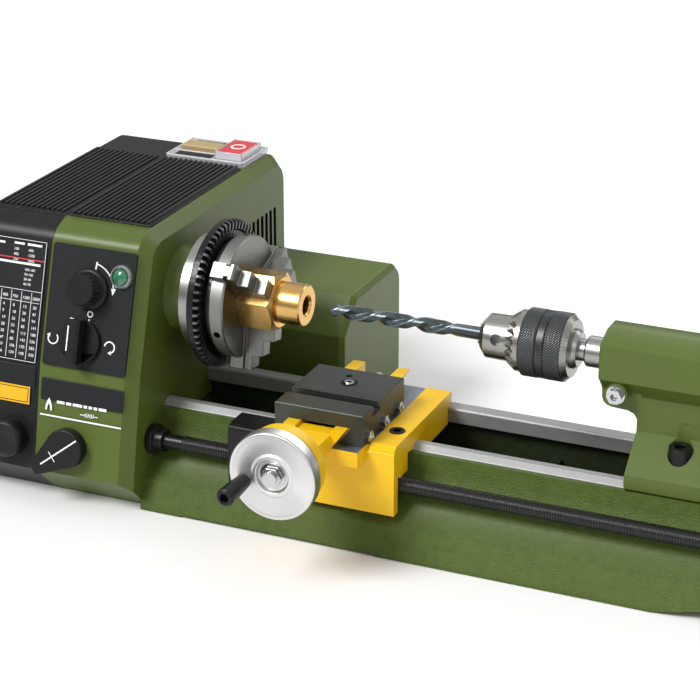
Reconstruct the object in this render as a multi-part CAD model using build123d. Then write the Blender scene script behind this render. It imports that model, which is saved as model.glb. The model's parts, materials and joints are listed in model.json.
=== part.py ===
"""Small bench metal lathe, built as separate parts in one frame.

X runs along the bed from the headstock to the tailstock, Y from the operator
to the back, Z up.  Z = 0 is the bench, Y = 0 is the spindle axis and X = 0 is
the middle of the four bench bolts.  All sizes in millimetres.
"""
import os
from math import atan2, cos, degrees, pi, radians, sin, sqrt, tan

from build123d import *

# fits
fit = 0.05             # running fit of turned parts and slides, per side
gap = 0.4              # free clearance between parts that never touch
skin = 0.02            # smallest free gap beside a seated part

# overall
spindle_height = 121.5     # spindle axis above the bench
centre_height = 63.0       # spindle axis above the ways
way_top = spindle_height - centre_height
bolt_rows = 234.0          # distance between the two rows of bench bolts
bolt_span = 80.0           # distance between the two bolts of a row
bolt_r = 3.0

# headstock
head_right = -83.0
head_width = 64.0
head_left = head_right - head_width
head_back = 151.0
head_top = spindle_height + 44.0
head_wall = 5.0
front_top_y = -42.3
front_top_z = head_top - 9.8
front_mid_y = -64.0
front_mid_z = spindle_height - 36.9
front_low_y = -77.0
front_low_z = spindle_height - 100.8
toe_y = -56.0
rear_radius = 20.0
edge_bevel = 7.0
cover_width = 55.5
cover_left = head_left - cover_width
cover_wall = 3.0
rib_height = 1.9
rib_pitch = 3.6
rib_front = -24.0
rib_back = 97.0

lever_r = 11.5
lever_reach = 23.0

# motor bay behind the bed
bay_right = -2.0
bay_front = 56.0
bay_top = 100.8
bay_wall = 4.0
motor_y = 104.0
motor_z = 52.0
motor_r = 34.0
motor_shaft_r = 6.0

# bed and ways
bed_right = 324.0
plinth_front = -63.0
plinth_back = 52.0
plinth_edge = 3.0
plinth_top = 17.4
wall_out = 32.8
wall_foot = 27.9
wall_in = 27.0
way_height = 9.5
way_out = 29.3
way_in = 21.0
ridge_slope = 3.2
rear_way_in = 28.0
rear_way_out = 38.0
bed_floor = 14.0
way_seat = way_top - way_height

# spindle and chuck
spindle_bore = 5.25
spindle_r = 15.0
spindle_tail_r = 12.5
nose_r = 20.0
boss_foot_r = nose_r + 6.0    # cone of the housing round the spindle nose
bearing_r = 27.5
bearing_width = 13.0
rear_bearing_r = 23.5
flange_r = 35.5
flange_gap = 14.7
flange_width = 9.8
boss_end = head_right + flange_gap - 4.9
ring_r = 45.0
ring_width = 7.2
ring_bore = 30.0
ring_teeth = 60
chuck_r = 37.0
chuck_width = 12.3
jaw_width = 10.0
jaw_depth = 8.5
jaw_out = 43.5
jaw_angles = (140.0, 20.0, 260.0)
hex_apothem = 16.4
hex_length = 22.1
spigot_r = 12.6
spigot_length = 15.7
work_bore = 5.4

# lead screw
screw_y = -46.8
screw_z = way_top - 18.0
screw_r = 4.5
journal_r = 3.6
collar_r = 9.2
wheel_r = 26.3
wheel_width = 12.0         # over the hub
rim_width = 8.5
grip_r = 5.2
grip_length = 24.0
grip_offset = 17.5
grip_angle = radians(17.0)     # of the cross wheel's grip below the level

# carriage
slide_x = 33.9             # middle of the cross slide
slide_width = 55.0
arm_width = 15.6
arm_gap = 2.4
saddle_left = 1.8
saddle_right = slide_x + slide_width / 2 + arm_gap + arm_width
saddle_back = 33.0
table_top = way_top + 7.7
arm_top = table_top + 1.3
apron_front = -57.6
apron_thick = screw_y - screw_r - gap - apron_front
apron_bottom = 24.8
table_front = -68.4
table_bottom = way_top - 1.8
tail_height = 10.8         # height of the dovetail
tail_half = 18.7           # half width of the dovetail over its top
tail_angle = 55.0
slide_height = 19.3
slide_front = -60.7
slide_back = 0.9
slot_y = -40.8
slot_neck = 7.7
slot_wide = 12.0
gib_thick = 1.6
cross_z = table_top + 4.0
cross_r = 3.5
channel_half = 11.0
drum_r = 24.0
boss_r = 11.5
cross_wheel_front = -124.0

# tailstock
barrel_left = 185.5
barrel_right = 272.0
base_left = 207.0
barrel_half = 19.8
barrel_top = spindle_height + 18.3
neck_half = 12.0
neck_drop = 18.9            # underside of the barrel down to the top of the base slope
foot_height = 6.3
quill_r = 9.0
quill_front = 173.0
chuck_front = 111.0
sleeve_r = 19.8
drill_tip = 14.4
drill_r = 4.5
key_hole_r = 3.4


def block(x0, x1, y0, y1, z0, z1):
    """Box between six planes."""
    middle = Pos((x0 + x1) / 2, (y0 + y1) / 2, (z0 + z1) / 2)
    return middle * Box(x1 - x0, y1 - y0, z1 - z0)


def along_x(points, x0, x1):
    """Prism with a (y, z) outline."""
    return extrude(Plane.YZ.offset(x0) * make_face(Polyline(*points, close=True)), amount=x1 - x0)


def along_y(points, y0, y1):
    """Prism with an (x, z) outline."""
    face = Plane((0, y1, 0), x_dir=(1, 0, 0), z_dir=(0, -1, 0)) * make_face(Polyline(*points, close=True))
    return extrude(face, amount=y1 - y0)


def along_z(points, z0, z1):
    """Prism with an (x, y) outline."""
    return extrude(Plane.XY.offset(z0) * make_face(Polyline(*points, close=True)), amount=z1 - z0)


def rod_x(x0, x1, r, y=0.0, z=spindle_height):
    return Pos((x0 + x1) / 2, y, z) * Rot(0, 90, 0) * Cylinder(r, x1 - x0)


def rod_y(y0, y1, r, x, z):
    return Pos(x, (y0 + y1) / 2, z) * Rot(90, 0, 0) * Cylinder(r, y1 - y0)


def rod_z(z0, z1, r, x, y):
    return Pos(x, y, (z0 + z1) / 2) * Cylinder(r, z1 - z0)


def turned_x(points, y=0.0, z=spindle_height):
    """Solid of revolution about an X axis from (x, radius) points."""
    profile = make_face(Polyline(*points, close=True))
    return Pos(0, y, z) * revolve(profile, axis=Axis.X)


def turned_y(points, x, z):
    """Solid of revolution about a Y axis from (radius, y) points."""
    profile = make_face(Polyline(*points, close=True))
    return Pos(x, 0, z) * revolve(profile, axis=Axis.Y)


def socket_y(y_face, depth, r, x, z):
    """Hexagon socket sunk from a face that looks toward the operator."""
    plane = Plane((x, y_face, z), x_dir=(1, 0, 0), z_dir=(0, 1, 0))
    return extrude(plane * RegularPolygon(r, 6), amount=depth)


def bevel_points(half_w, half_d, corner):
    """Rectangle outline with its four corners cut off."""
    return [(-half_w + corner, -half_d), (half_w - corner, -half_d), (half_w, -half_d + corner),
            (half_w, half_d - corner), (half_w - corner, half_d), (-half_w + corner, half_d),
            (-half_w, half_d - corner), (-half_w, -half_d + corner)]


# ---- headstock shell ----

def head_outline(inset=0.0):
    """Side outline of the headstock, the same for the housing and the gear cover."""
    outer = make_face(Polyline((toe_y, 0), (front_low_y, front_low_z), (front_mid_y, front_mid_z),
                               (front_top_y, front_top_z), (front_top_y + 5.3, head_top - 4.0),
                               (front_top_y + 15.3, head_top), (head_back, head_top),
                               (head_back, 0), close=True))
    corner = outer.vertices().sort_by(lambda v: v.Y + v.Z)[-1]
    outer = fillet(corner, rear_radius)
    if inset == 0:
        return outer
    return offset(outer, amount=-inset)


def shell_part(x0, x1, inset=0.0):
    return extrude(Plane.YZ.offset(x0) * head_outline(inset), amount=x1 - x0)


def vent_slots(wall_x0, wall_x1):
    slots = []
    for i in range(7):
        y = 92.0 + 6.3 * i
        slot = block(wall_x0, wall_x1, y - 1.8, y + 1.8, 104.0, 129.6)
        slots.append(slot + rod_x(wall_x0, wall_x1, 1.8, y, 129.6) + rod_x(wall_x0, wall_x1, 1.8, y, 104.0))
    return slots


def headstock_housing():
    body = shell_part(head_left, head_right)
    right_face = body.faces().sort_by(Axis.X)[-1]
    rim = [e for e in right_face.edges() if e.center().Z > 30 and e.center().Y < head_back - 30]
    body = chamfer(rim, edge_bevel)
    body -= shell_part(head_left + head_wall, head_right - head_wall - 2, head_wall)
    body -= block(head_left + head_wall, head_right - head_wall - 2, toe_y + 4,
                  head_back - head_wall, -1, head_wall + 1)
    front_seat = head_right - bearing_width - 3
    rear_seat = head_left + bearing_width + 3
    body += rod_x(front_seat, head_right - 3, bearing_r + 6)
    body += rod_x(head_left + 2, rear_seat, rear_bearing_r + 6)
    body += turned_x([(head_right - 4, 0), (head_right - 4, boss_foot_r), (head_right, boss_foot_r),
                      (boss_end, boss_foot_r - 2.0), (boss_end, 0)])
    body -= rod_x(front_seat - 1, head_right - 3, bearing_r)
    body -= rod_x(head_left + 3, rear_seat + 1, rear_bearing_r)
    body -= rod_x(head_right - 4, boss_end + 1, nose_r + gap + 0.6)
    body -= rod_x(head_left - 1, head_left + 4, spindle_tail_r + gap + 0.6)
    body -= rod_x(head_left - 1, head_right + 1, screw_r + gap, screw_y, screw_z)
    body -= rod_x(head_left - 1, head_right + 1, motor_shaft_r + 2, motor_y, motor_z)
    body -= block(head_right - head_wall - 3, head_right + 1, -bolt_span / 2 - 10, bolt_span / 2 + 10,
                  -1, bed_floor)
    for slot in vent_slots(head_right - head_wall - 3, head_right + 1):
        body -= slot
    return body


def ribs(x0, x1, z0):
    """Ribbed plate, the ribs running from front to back."""
    plate = block(x0, x1, rib_front, rib_back, z0, z0 + 1.0)
    count = int((x1 - x0 - 1.0) / rib_pitch)
    start = (x0 + x1 - (count - 1) * rib_pitch) / 2
    for i in range(count):
        x = start + i * rib_pitch
        plate += block(x - 1.0, x + 1.0, rib_front + 0.6, rib_back - 0.6, z0 + 1.0, z0 + 1.0 + rib_height)
    return plate


def top_ribs():
    return ribs(head_left + 0.8, head_right - edge_bevel - 0.6, head_top)


def gear_cover():
    body = shell_part(cover_left, head_left)
    left_face = body.faces().sort_by(Axis.X)[0]
    rim = [e for e in left_face.edges() if e.center().Z > 30]
    body = chamfer(rim, 5.0)
    body -= shell_part(cover_left + cover_wall + 2, head_left + 1, cover_wall)
    body += ribs(cover_left + 6.0, head_left - 0.6, head_top)
    body -= rod_x(cover_left - 1, cover_left + 8, spindle_tail_r)
    body -= knob_plane * Cylinder(3.4, 12.0)
    return body


# ---- controls on the sloping front ----

def slope_plane(y0, z0, y1, z1, x, share):
    """Plane on a sloping front band: local x along the machine, local y up the slope."""
    y = y0 + (y1 - y0) * share
    z = z0 + (z1 - z0) * share
    run = sqrt((y1 - y0) ** 2 + (z1 - z0) ** 2)
    normal = (0, -(z1 - z0) / run, (y1 - y0) / run)
    return Plane((x, y, z), x_dir=(1, 0, 0), z_dir=normal)


def upper_plane(x, share):
    return slope_plane(front_mid_y, front_mid_z, front_top_y, front_top_z, x, share)


def lower_plane(x, share):
    return slope_plane(front_low_y, front_low_z, front_mid_y, front_mid_z, x, share)


panel_thick = 1.6
panel_x = (head_left + head_right) / 2 - 2.0
upper_run = sqrt((front_top_y - front_mid_y) ** 2 + (front_top_z - front_mid_z) ** 2)
lower_run = sqrt((front_mid_y - front_low_y) ** 2 + (front_mid_z - front_low_z) ** 2)
speed_plane = upper_plane(head_left + 29.0, 0.66).offset(panel_thick)
lamp_plane = upper_plane(head_left + 49.5, 0.80).offset(panel_thick)
switch_plane = upper_plane(head_left + 26.5, 0.24).offset(panel_thick)
lever_plane = lower_plane(head_left + 23.0, 0.27)
knob_plane = lower_plane(head_left - 17.5, 0.27)


def plate_on(plane, width, height, thick, corner=2.0):
    face = RectangleRounded(width, height, corner)
    return extrude(plane * face, amount=thick)


def control_panel():
    body = plate_on(upper_plane(panel_x, 0.5), head_width - 8.0, upper_run - 1.0, panel_thick)
    for plane, r in ((speed_plane, 3.4), (lamp_plane, 4.4), (switch_plane, 4.4)):
        body -= plane * Cylinder(r, 4 * panel_thick)
    return body


def shift_label():
    return plate_on(lower_plane(panel_x, 0.78), head_width - 8.0, 13.5, 1.0, 1.2)


def chart_plate():
    plane = upper_plane((cover_left + head_left) / 2 + 2.0, 0.47)
    return plate_on(plane, cover_width - 8.5, upper_run - 7.0, 0.8, 1.5)


def badge_plate():
    plane = lower_plane((cover_left + head_left) / 2 + 2.0, 0.86)
    return plate_on(plane, cover_width - 8.5, 14.0, 0.8, 1.0)


def chart_plates():
    return Compound(children=[chart_plate(), badge_plate()])


def knob(plane, r, height, bore_depth):
    """Round knob with a waisted foot, a milled side and a stub through the panel."""
    foot = plane * Pos(0, 0, gap / 2 + 1.5) * Cylinder(r, 3.0)
    grip = plane * Pos(0, 0, gap / 2 + 3.0 + (height - 3.0) / 2) * Cone(r * 0.92, r * 0.8, height - 3.0)
    stub = plane * Pos(0, 0, -bore_depth / 2 + gap / 2) * Cylinder(3.0, bore_depth)
    body = foot + grip + stub
    for i in range(12):
        angle = i * 30.0
        flute = plane * Rot(0, 0, angle) * Pos(r * 0.98, 0, gap / 2 + 3.0 + height / 2)
        body -= flute * Cylinder(1.1, height)
    return body


def speed_knob():
    return knob(speed_plane, 10.8, 12.0, panel_thick)


def cover_knob():
    plane = knob_plane
    body = knob(plane, 10.8, 11.0, 1.0)
    return body


def direction_switch():
    plane = switch_plane
    disc = plane * Pos(0, 0, gap / 2 + 1.25) * Cylinder(13.5, 2.5)
    wing = plane * Pos(0, 0, gap / 2 + 2.5 + 4.5) * Box(8.0, 26.0, 9.0)
    stub = plane * Pos(0, 0, -panel_thick / 2 + gap / 2) * Cylinder(3.6, panel_thick)
    wing = chamfer(wing.edges().filter_by(lambda e: e.length > 20), 1.5)
    return disc + wing + stub


def shift_lever():
    plane = lever_plane
    disc = plane * Pos(0, 0, gap / 2 + 4.0) * Cylinder(lever_r, 8.0)
    pointer = Pos(0, 0, gap / 2) * Rot(0, 0, 225)
    taper = [(lever_r * 0.24, lever_r * 0.97), (lever_reach, 2.4), (lever_reach, -2.4),
             (lever_r * 0.24, -lever_r * 0.97)]
    arm = extrude(plane * pointer * make_face(Polyline(*taper, close=True)), amount=8.0)
    tip = plane * pointer * Pos(lever_reach, 0, 4.0) * Cylinder(2.6, 8.0)
    return disc + arm + tip


def lamp_bezel():
    """Bright ring of the indicator lamp with its lens standing in it."""
    ring = lamp_plane * Pos(0, 0, 1.5) * (Cylinder(6.6, 3.0) - Cylinder(4.8, 4.0))
    stem = lamp_plane * Pos(0, 0, -panel_thick / 2) * (Cylinder(4.4, panel_thick) - Cylinder(3.4, 4.0))
    lip = lamp_plane * Pos(0, 0, 0.4) * (Cylinder(6.6, 0.8) - Cylinder(3.4, 2.0))
    return Compound(children=[ring + stem + lip, lamp_lens()])


def lamp_lens():
    dome = lamp_plane * Pos(0, 0, 0.8) * (Pos(0, 0, 1.2) * Cylinder(4.8, 2.4))
    cap = lamp_plane * Pos(0, 0, 3.2 - 3.0) * Sphere(5.4)
    cap &= lamp_plane * Pos(0, 0, 3.2 + 2.0) * Cylinder(4.4, 4.0)
    return dome + cap


# ---- switch block on top ----

plate_x0 = head_left + 1.0
plate_x1 = head_right - edge_bevel - 0.5
plate_y0 = 99.0
plate_y1 = 138.0
plate_z = head_top + 3.2
red_x0 = plate_x1 - 21.0
red_x1 = plate_x1 - 4.0
green_x0 = plate_x0 + 5.0
green_x1 = red_x0 - 3.5
key_y0 = plate_y0 + 6.0
key_y1 = plate_y1 - 6.0
green_y0 = plate_y0 + 13.5
green_y1 = plate_y1 - 13.5
key_travel = 2.0


def switch_plate():
    middle = Pos((plate_x0 + plate_x1) / 2, (plate_y0 + plate_y1) / 2, 0)
    outline = bevel_points((plate_x1 - plate_x0) / 2, (plate_y1 - plate_y0) / 2, 1.5)
    body = middle * along_z(outline, head_top, plate_z)
    for x0, x1, y0, y1 in ((red_x0, red_x1, key_y0, key_y1), (green_x0, green_x1, green_y0, green_y1)):
        body -= block(x0 - gap, x1 + gap, y0 - gap, y1 + gap, head_top + 0.6, plate_z + 1)
    for y0, y1 in ((plate_y0 + 3.0, green_y0 - 3.0), (green_y1 + 3.0, plate_y1 - 3.0)):
        body -= block(green_x0, green_x1, y0, y1, plate_z - 0.8, plate_z + 1)
    return body


def push_key(x0, x1, y0, y1, rise):
    body = block(x0, x1, y0, y1, head_top + 0.6 + key_travel, plate_z + rise)
    top = body.faces().sort_by(Axis.Z)[-1]
    return chamfer(top.edges(), 0.8)


def off_button():
    return push_key(red_x0, red_x1, key_y0, key_y1, 4.4)


def on_button():
    return push_key(green_x0, green_x1, green_y0, green_y1, 1.6 + key_travel)


# ---- motor and drive ----

belt_x = head_left - 17.0
belt_width = 9.0
big_pulley_r = 33.0
small_pulley_r = 13.0


def motor_housing():
    rear = head_back
    outline = make_face(Polyline((bay_front, 3), (bay_front, bay_top - 21), (bay_front + 21, bay_top),
                                 (rear, bay_top), (rear, 3), close=True))
    corner = outline.vertices().sort_by(lambda v: v.Y + v.Z)[-1]
    outline = fillet(corner, 15.0)
    body = extrude(Plane.YZ.offset(head_right) * outline, amount=bay_right - head_right)
    right_face = body.faces().sort_by(Axis.X)[-1]
    rim = [e for e in right_face.edges() if e.center().Z > 10]
    body = chamfer(rim, 3.0)
    inner = offset(outline, amount=-bay_wall)
    cavity_run = bay_right - bay_wall - head_right
    body -= extrude(Plane.YZ.offset(head_right - 1) * inner, amount=cavity_run + 1)
    body -= block(head_right - 1, bay_right - bay_wall, bay_front + bay_wall, rear - bay_wall, 0, 8)
    body -= rod_y(rear - bay_wall - 1, rear + 1, gland_r, gland_x, gland_z)
    for i in range(6):
        x = bay_right - 16.0 - 8.0 * i
        body -= block(x - 2, x + 2, rear - bay_wall - 1, rear + 1, 55, 80)
    return body


gland_x = head_right + 18.0
gland_z = 26.0
gland_r = 6.0


def cable_inlet():
    nut = rod_y(head_back, head_back + 5, gland_r + 3.5, gland_x, gland_z)
    sleeve = rod_y(head_back - bay_wall - 4, head_back + 12, gland_r, gland_x, gland_z)
    flange = rod_y(head_back - bay_wall - 3, head_back - bay_wall, gland_r + 3, gland_x, gland_z)
    return nut + sleeve + flange - rod_y(head_back - 20, head_back + 20, 3.2, gland_x, gland_z)


def motor_body():
    """Motor can on a foot that stands on the floor pan of the bay."""
    x0 = head_right
    x1 = bay_right - bay_wall - 6
    can = rod_x(x0, x1, motor_r, motor_y, motor_z)
    bore = rod_x(x0 - 1, x1 + 1, motor_shaft_r + 2, motor_y, motor_z)
    core = rod_x(x0 + 8, x1 - 8, 18.0, motor_y, motor_z)
    return can - bore - core


def motor_rotor():
    x0 = belt_x - belt_width / 2 - 4
    x1 = bay_right - bay_wall - 8
    shaft = rod_x(x0, x1, motor_shaft_r, motor_y, motor_z)
    core = rod_x(head_right + 12, bay_right - bay_wall - 18, 16.5, motor_y, motor_z)
    return shaft + core + grooved_pulley(small_pulley_r, motor_shaft_r - 1, motor_y, motor_z)


def grooved_pulley(r, bore, y, z):
    half = belt_width / 2
    points = [(belt_x - half - 1.5, bore), (belt_x - half - 1.5, r + 2.0), (belt_x - half, r + 2.0),
              (belt_x - half, r), (belt_x + half, r), (belt_x + half, r + 2.0),
              (belt_x + half + 1.5, r + 2.0), (belt_x + half + 1.5, bore)]
    return turned_x(points, y, z)


def spindle_pulley():
    """Belt pulley with the pinion of the feed train on its hub."""
    pulley = grooved_pulley(big_pulley_r, spindle_tail_r, 0.0, spindle_height)
    hub = rod_x(belt_x - 10.5, belt_x - belt_width / 2, 15.0) - rod_x(belt_x - 12, belt_x, spindle_tail_r)
    return pulley + hub + spindle_gear()


def belt_outline(r_big, r_small):
    """Outline of a taut belt round both pulleys."""
    dy = motor_y
    dz = motor_z - spindle_height
    run = sqrt(dy * dy + dz * dz)
    lean = atan2(dz, dy)
    open_angle = pi / 2 + atan2(r_big - r_small, sqrt(run * run - (r_big - r_small) ** 2))
    points = []
    for i in range(41):
        turn = lean + (pi - 0.0) - (2 * pi - 2 * (pi - open_angle)) * (i / 40 - 0.5)
        points.append((r_big * cos(turn), spindle_height + r_big * sin(turn)))
    for i in range(25):
        turn = lean - (2 * (pi - open_angle)) * (i / 24 - 0.5)
        points.append((motor_y + r_small * cos(turn), motor_z + r_small * sin(turn)))
    return points


def drive_belt():
    lift = 0.35
    thick = 1.6
    x0 = belt_x - belt_width / 2 + gap
    x1 = belt_x + belt_width / 2 - gap
    outer = along_x(belt_outline(big_pulley_r + lift + thick, small_pulley_r + lift + thick), x0, x1)
    inner = along_x(belt_outline(big_pulley_r + lift, small_pulley_r + lift), x0 - 1, x1 + 1)
    return outer - inner


# ---- spindle ----

flange_left = head_right + flange_gap
flange_right = flange_left + flange_width
ring_left = flange_right + 0.3
ring_right = ring_left + ring_width
body_left = ring_right + 0.3
body_right = body_left + chuck_width


def spindle():
    tail = cover_left + 8.0
    points = [(tail, spindle_bore), (tail, spindle_tail_r), (head_left + bearing_width + 3, spindle_tail_r),
              (head_left + bearing_width + 3, spindle_r + 2), (head_right - bearing_width - 3, spindle_r + 2),
              (head_right - bearing_width - 3, spindle_r), (head_right - 3, spindle_r),
              (head_right - 3, nose_r), (flange_left - 4, nose_r), (flange_left - 4, 14.0),
              (flange_right, 14.0), (flange_right, spindle_bore)]
    return turned_x(points)


def bearing(x0, bore, r, balls):
    """Ball bearing as two races and a ring of balls in one group."""
    mid = (bore + r) / 2
    x1 = x0 + bearing_width
    ball_r = (r - bore) * 0.27
    race_half = (r - bore) * 0.17
    inner = turned_x([(x0, bore), (x0, mid - race_half), (x1, mid - race_half), (x1, bore)])
    outer = turned_x([(x0, mid + race_half), (x0, r), (x1, r), (x1, mid + race_half)])
    groove = Pos(x0 + bearing_width / 2, 0, spindle_height) * Rot(0, 90, 0) * Torus(mid, ball_r)
    solids = [inner - groove, outer - groove]
    for i in range(balls):
        turn = 2 * pi * i / balls
        at = Pos(x0 + bearing_width / 2, mid * cos(turn), spindle_height + mid * sin(turn))
        solids.append(at * Sphere(ball_r))
    return solids


def spindle_bearings():
    front = bearing(head_right - bearing_width - 3, spindle_r, bearing_r, 9)
    rear = bearing(head_left + 3, spindle_tail_r, rear_bearing_r, 9)
    return Compound(children=front + rear)


def spindle_gear():
    body = rod_x(belt_x - 18.0, belt_x - 10.0, 16.0)
    body -= rod_x(belt_x - 19.0, belt_x - 9.0, spindle_tail_r)
    for i in range(20):
        tooth = Pos((belt_x - 14.0), 0, spindle_height) * Rot(i * 18.0, 0, 0) * Pos(0, 0, 16.4)
        body += tooth * Box(8.0, 2.0, 3.0)
    return body


def feed_gear():
    """Change gear on the left end of the lead screw."""
    x0 = belt_x - 18.0
    body = rod_x(x0, x0 + 8.0, 20.0, screw_y, screw_z)
    for i in range(26):
        tooth = Pos(x0 + 4.0, screw_y, screw_z) * Rot(i * 360.0 / 26, 0, 0) * Pos(0, 0, 20.4)
        body += tooth * Box(8.0, 2.0, 3.0)
    return body


# ---- chuck ----

def chuck_flange():
    points = [(flange_left - 4, 14.0), (flange_left - 4, nose_r + 4), (flange_left, nose_r + 4),
              (flange_left, flange_r), (flange_right, flange_r), (flange_right, 14.0)]
    body = turned_x(points)
    body -= rod_x(flange_left - 5, flange_left - 4, nose_r + 5)
    return body


def scroll_ring():
    """Ring turned by the chuck key, with bevel teeth round its front edge."""
    x0 = ring_left
    x1 = ring_right
    body = turned_x([(x0, ring_bore + fit), (x0, ring_r - 1.0), (x0 + 1.0, ring_r), (x1 - 3.2, ring_r),
                     (x1 - 0.8, ring_r - 3.0), (x1 - 0.8, ring_r - 7.0), (x1, ring_r - 7.0),
                     (x1, ring_bore + fit)])
    cutters = []
    step = 360.0 / ring_teeth
    for i in range(ring_teeth):
        at = Pos(x1, 0, spindle_height) * Rot(i * step, 0, 0) * Pos(-1.2, 0, ring_r - 1.0)
        cutters.append(at * Rot(0, 40, 0) * Box(3.4, 1.9, 7.0))
    return body - Compound(children=cutters).solids()


def chuck_body():
    x0 = flange_right
    x1 = body_right
    points = [(x0, spindle_bore + 1), (x0, ring_bore), (body_left, ring_bore), (body_left, chuck_r - 3.0),
              (body_left + 3.4, chuck_r - 3.0), (body_left + 3.4, chuck_r - 0.5), (body_left + 3.9, chuck_r),
              (x1 - 1.0, chuck_r), (x1, chuck_r - 1.0), (x1, spindle_bore + 1)]
    body = turned_x(points)
    for angle in jaw_angles:
        slot = Pos(x1 - jaw_depth / 2 + 0.5, 0, spindle_height) * Rot(angle - 90.0, 0, 0)
        slot *= Pos(0, 0, (chuck_r + 14.0) / 2)
        body -= slot * Box(jaw_depth + 1.0 + 2 * fit, jaw_width + 2 * fit, chuck_r - 14.0 + 2.0)
    for i in range(3):
        at = Pos(x1 - 4.6, 0, spindle_height) * Rot(jaw_angles[0] - 90.0 + 60.0 + 120.0 * i, 0, 0)
        body -= at * Pos(0, 0, chuck_r - 3.0) * Cylinder(2.2, 8.0)
    return body


def chuck_jaw(angle):
    """Stepped jaw standing in its radial slot, built pointing up and then turned."""
    back = body_right - jaw_depth + 0.5
    tip = hex_apothem + 0.1
    front = body_right
    outline = [(back, tip + 0.5), (front + 20.3, tip), (front + 20.3, 24.0), (front + 13.3, 24.6),
               (front + 13.3, 34.0), (front + 6.8, 34.6), (front + 6.8, jaw_out - 1.0),
               (front + 5.8, jaw_out), (back, jaw_out)]
    profile = make_face(Polyline(*outline, close=True))
    half = jaw_width / 2
    body = extrude(Plane((0, 0, 0), x_dir=(1, 0, 0), z_dir=(0, -1, 0)) * profile, amount=half, both=True)
    for side in (-1, 1):
        groove = Pos(front + 2.2, side * half, (tip + jaw_out) / 2)
        body -= groove * Box(2.6, 3.4, jaw_out)
    return Pos(0, 0, spindle_height) * Rot(angle - 90.0, 0, 0) * body


def workpiece():
    x0 = body_right
    x1 = x0 + hex_length
    x2 = x1 + spigot_length
    flat = Rot(0, 90, 0) * Rot(0, 0, jaw_angles[1] + 60.0)
    across = hex_apothem / cos(radians(30.0))
    prism = Pos(x0, 0, spindle_height) * Rot(jaw_angles[1] - 90.0, 0, 0) * extrude(
        Plane.YZ * RegularPolygon(across, 6, rotation=0), amount=hex_length)
    dome = turned_x([(x0, 0), (x0, across + 1), (x1 - 3.0, across + 1), (x1, hex_apothem - 1.2), (x1, 0)])
    body = prism & dome
    body += turned_x([(x1, 0), (x1, spigot_r - 0.8), (x1 + 1.2, spigot_r - 0.8), (x1 + 1.2, spigot_r),
                      (x2 - 0.8, spigot_r), (x2, spigot_r - 0.8), (x2, 0)])
    body -= rod_x(x0 - 1, x2 + 1, work_bore)
    body -= turned_x([(x2 - 1.2, 0), (x2 - 1.2, work_bore), (x2 + 0.3, work_bore + 1.5), (x2 + 0.3, 0)])
    return body


# ---- bed ----

def bed_casting():
    lip = way_top - 3.6
    outline = [(plinth_front, 0), (plinth_front, plinth_edge), (plinth_front + 6.7, plinth_top),
               (-42.0, wall_foot), (-wall_out, wall_foot + 16.8), (-wall_out + 0.4, lip),
               (-way_out, lip), (-way_out, way_seat), (-wall_in, way_seat),
               (-wall_in, bed_floor), (rear_way_out - 4, bed_floor), (rear_way_out - 4, way_seat),
               (rear_way_out, way_seat), (rear_way_out, lip), (rear_way_out + 3.5, lip),
               (rear_way_out + 4.0, wall_foot + 16.8), (plinth_back, wall_foot - 6.0), (plinth_back, 0)]
    body = along_x(outline, head_right, bed_right)
    foot = block(-bolt_rows / 2 - 18, head_right, -bolt_span / 2 - 10, bolt_span / 2 + 10, 0, bed_floor)
    body += foot
    for i in range(4):
        x = head_right + 40.0 + i * 95.0
        body += block(x - 3, x + 3, -wall_in, rear_way_out - 4, bed_floor, way_seat - 14.0)
    body += block(head_right, head_right + 8, -wall_in, rear_way_out - 4, bed_floor, way_seat - 10.0)
    body += block(bed_right - 8, bed_right, -wall_in, rear_way_out - 4, bed_floor, way_seat - 10.0)
    rise = [(bed_right - 90, 0), (bed_right + 1, 0), (bed_right + 1, 12), (bed_right - 54, 7.2)]
    body -= along_y([(x, z - 0.001) for x, z in rise], plinth_front - 1, plinth_back + 1)
    body -= block(-56, 69, plinth_front - 1, plinth_back + 1, -1, 1.0)
    pocket = block(head_right + 10, bed_right - 100, plinth_front + 12, plinth_back - 8, -1, 7.0)
    pocket -= block(bolt_rows / 2 - 12, bolt_rows / 2 + 12, plinth_front, plinth_back, -1, 8)
    body -= pocket
    for x in (-bolt_rows / 2, bolt_rows / 2):
        for y in (-bolt_span / 2, bolt_span / 2):
            body -= rod_z(-1, bed_floor - 3, bolt_r, x, y)
    return body


def bed_ways():
    """The two ground way strips, the prism in front and the flat behind."""
    return Compound(children=[front_way(), rear_way()])


def front_way():
    points = [(-way_out, way_seat), (-way_out, way_top - ridge_slope), (-way_out + 3.9, way_top),
              (-way_in - 0.6, way_top), (-way_in, way_top - 0.6), (-way_in, way_seat)]
    return along_x(points, head_right, bed_right)


def rear_way():
    points = [(rear_way_in, way_seat), (rear_way_in, way_top - 1.0), (rear_way_in + 1.0, way_top),
              (rear_way_out - 1.0, way_top), (rear_way_out, way_top - 1.0), (rear_way_out, way_seat)]
    return along_x(points, head_right, bed_right)


# ---- lead screw ----

bracket_width = 12.0


def leadscrew():
    points = [(belt_x - 19.0, 0), (belt_x - 19.0, journal_r), (head_left - 1.0, journal_r),
              (head_left - 1.0, screw_r), (bed_right - 1.0, screw_r), (bed_right - 1.0, journal_r),
              (bed_right + bracket_width + 16.0, journal_r), (bed_right + bracket_width + 16.0, 0)]
    body = turned_x(points, screw_y, screw_z)
    x0 = head_right + gap
    body += feed_gear()
    return body + turned_x([(x0, screw_r - 1), (x0, collar_r), (x0 + 4, collar_r), (x0 + 5, collar_r - 2),
                            (x0 + 10, collar_r - 2), (x0 + 10, screw_r - 1)], screw_y, screw_z)


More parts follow.
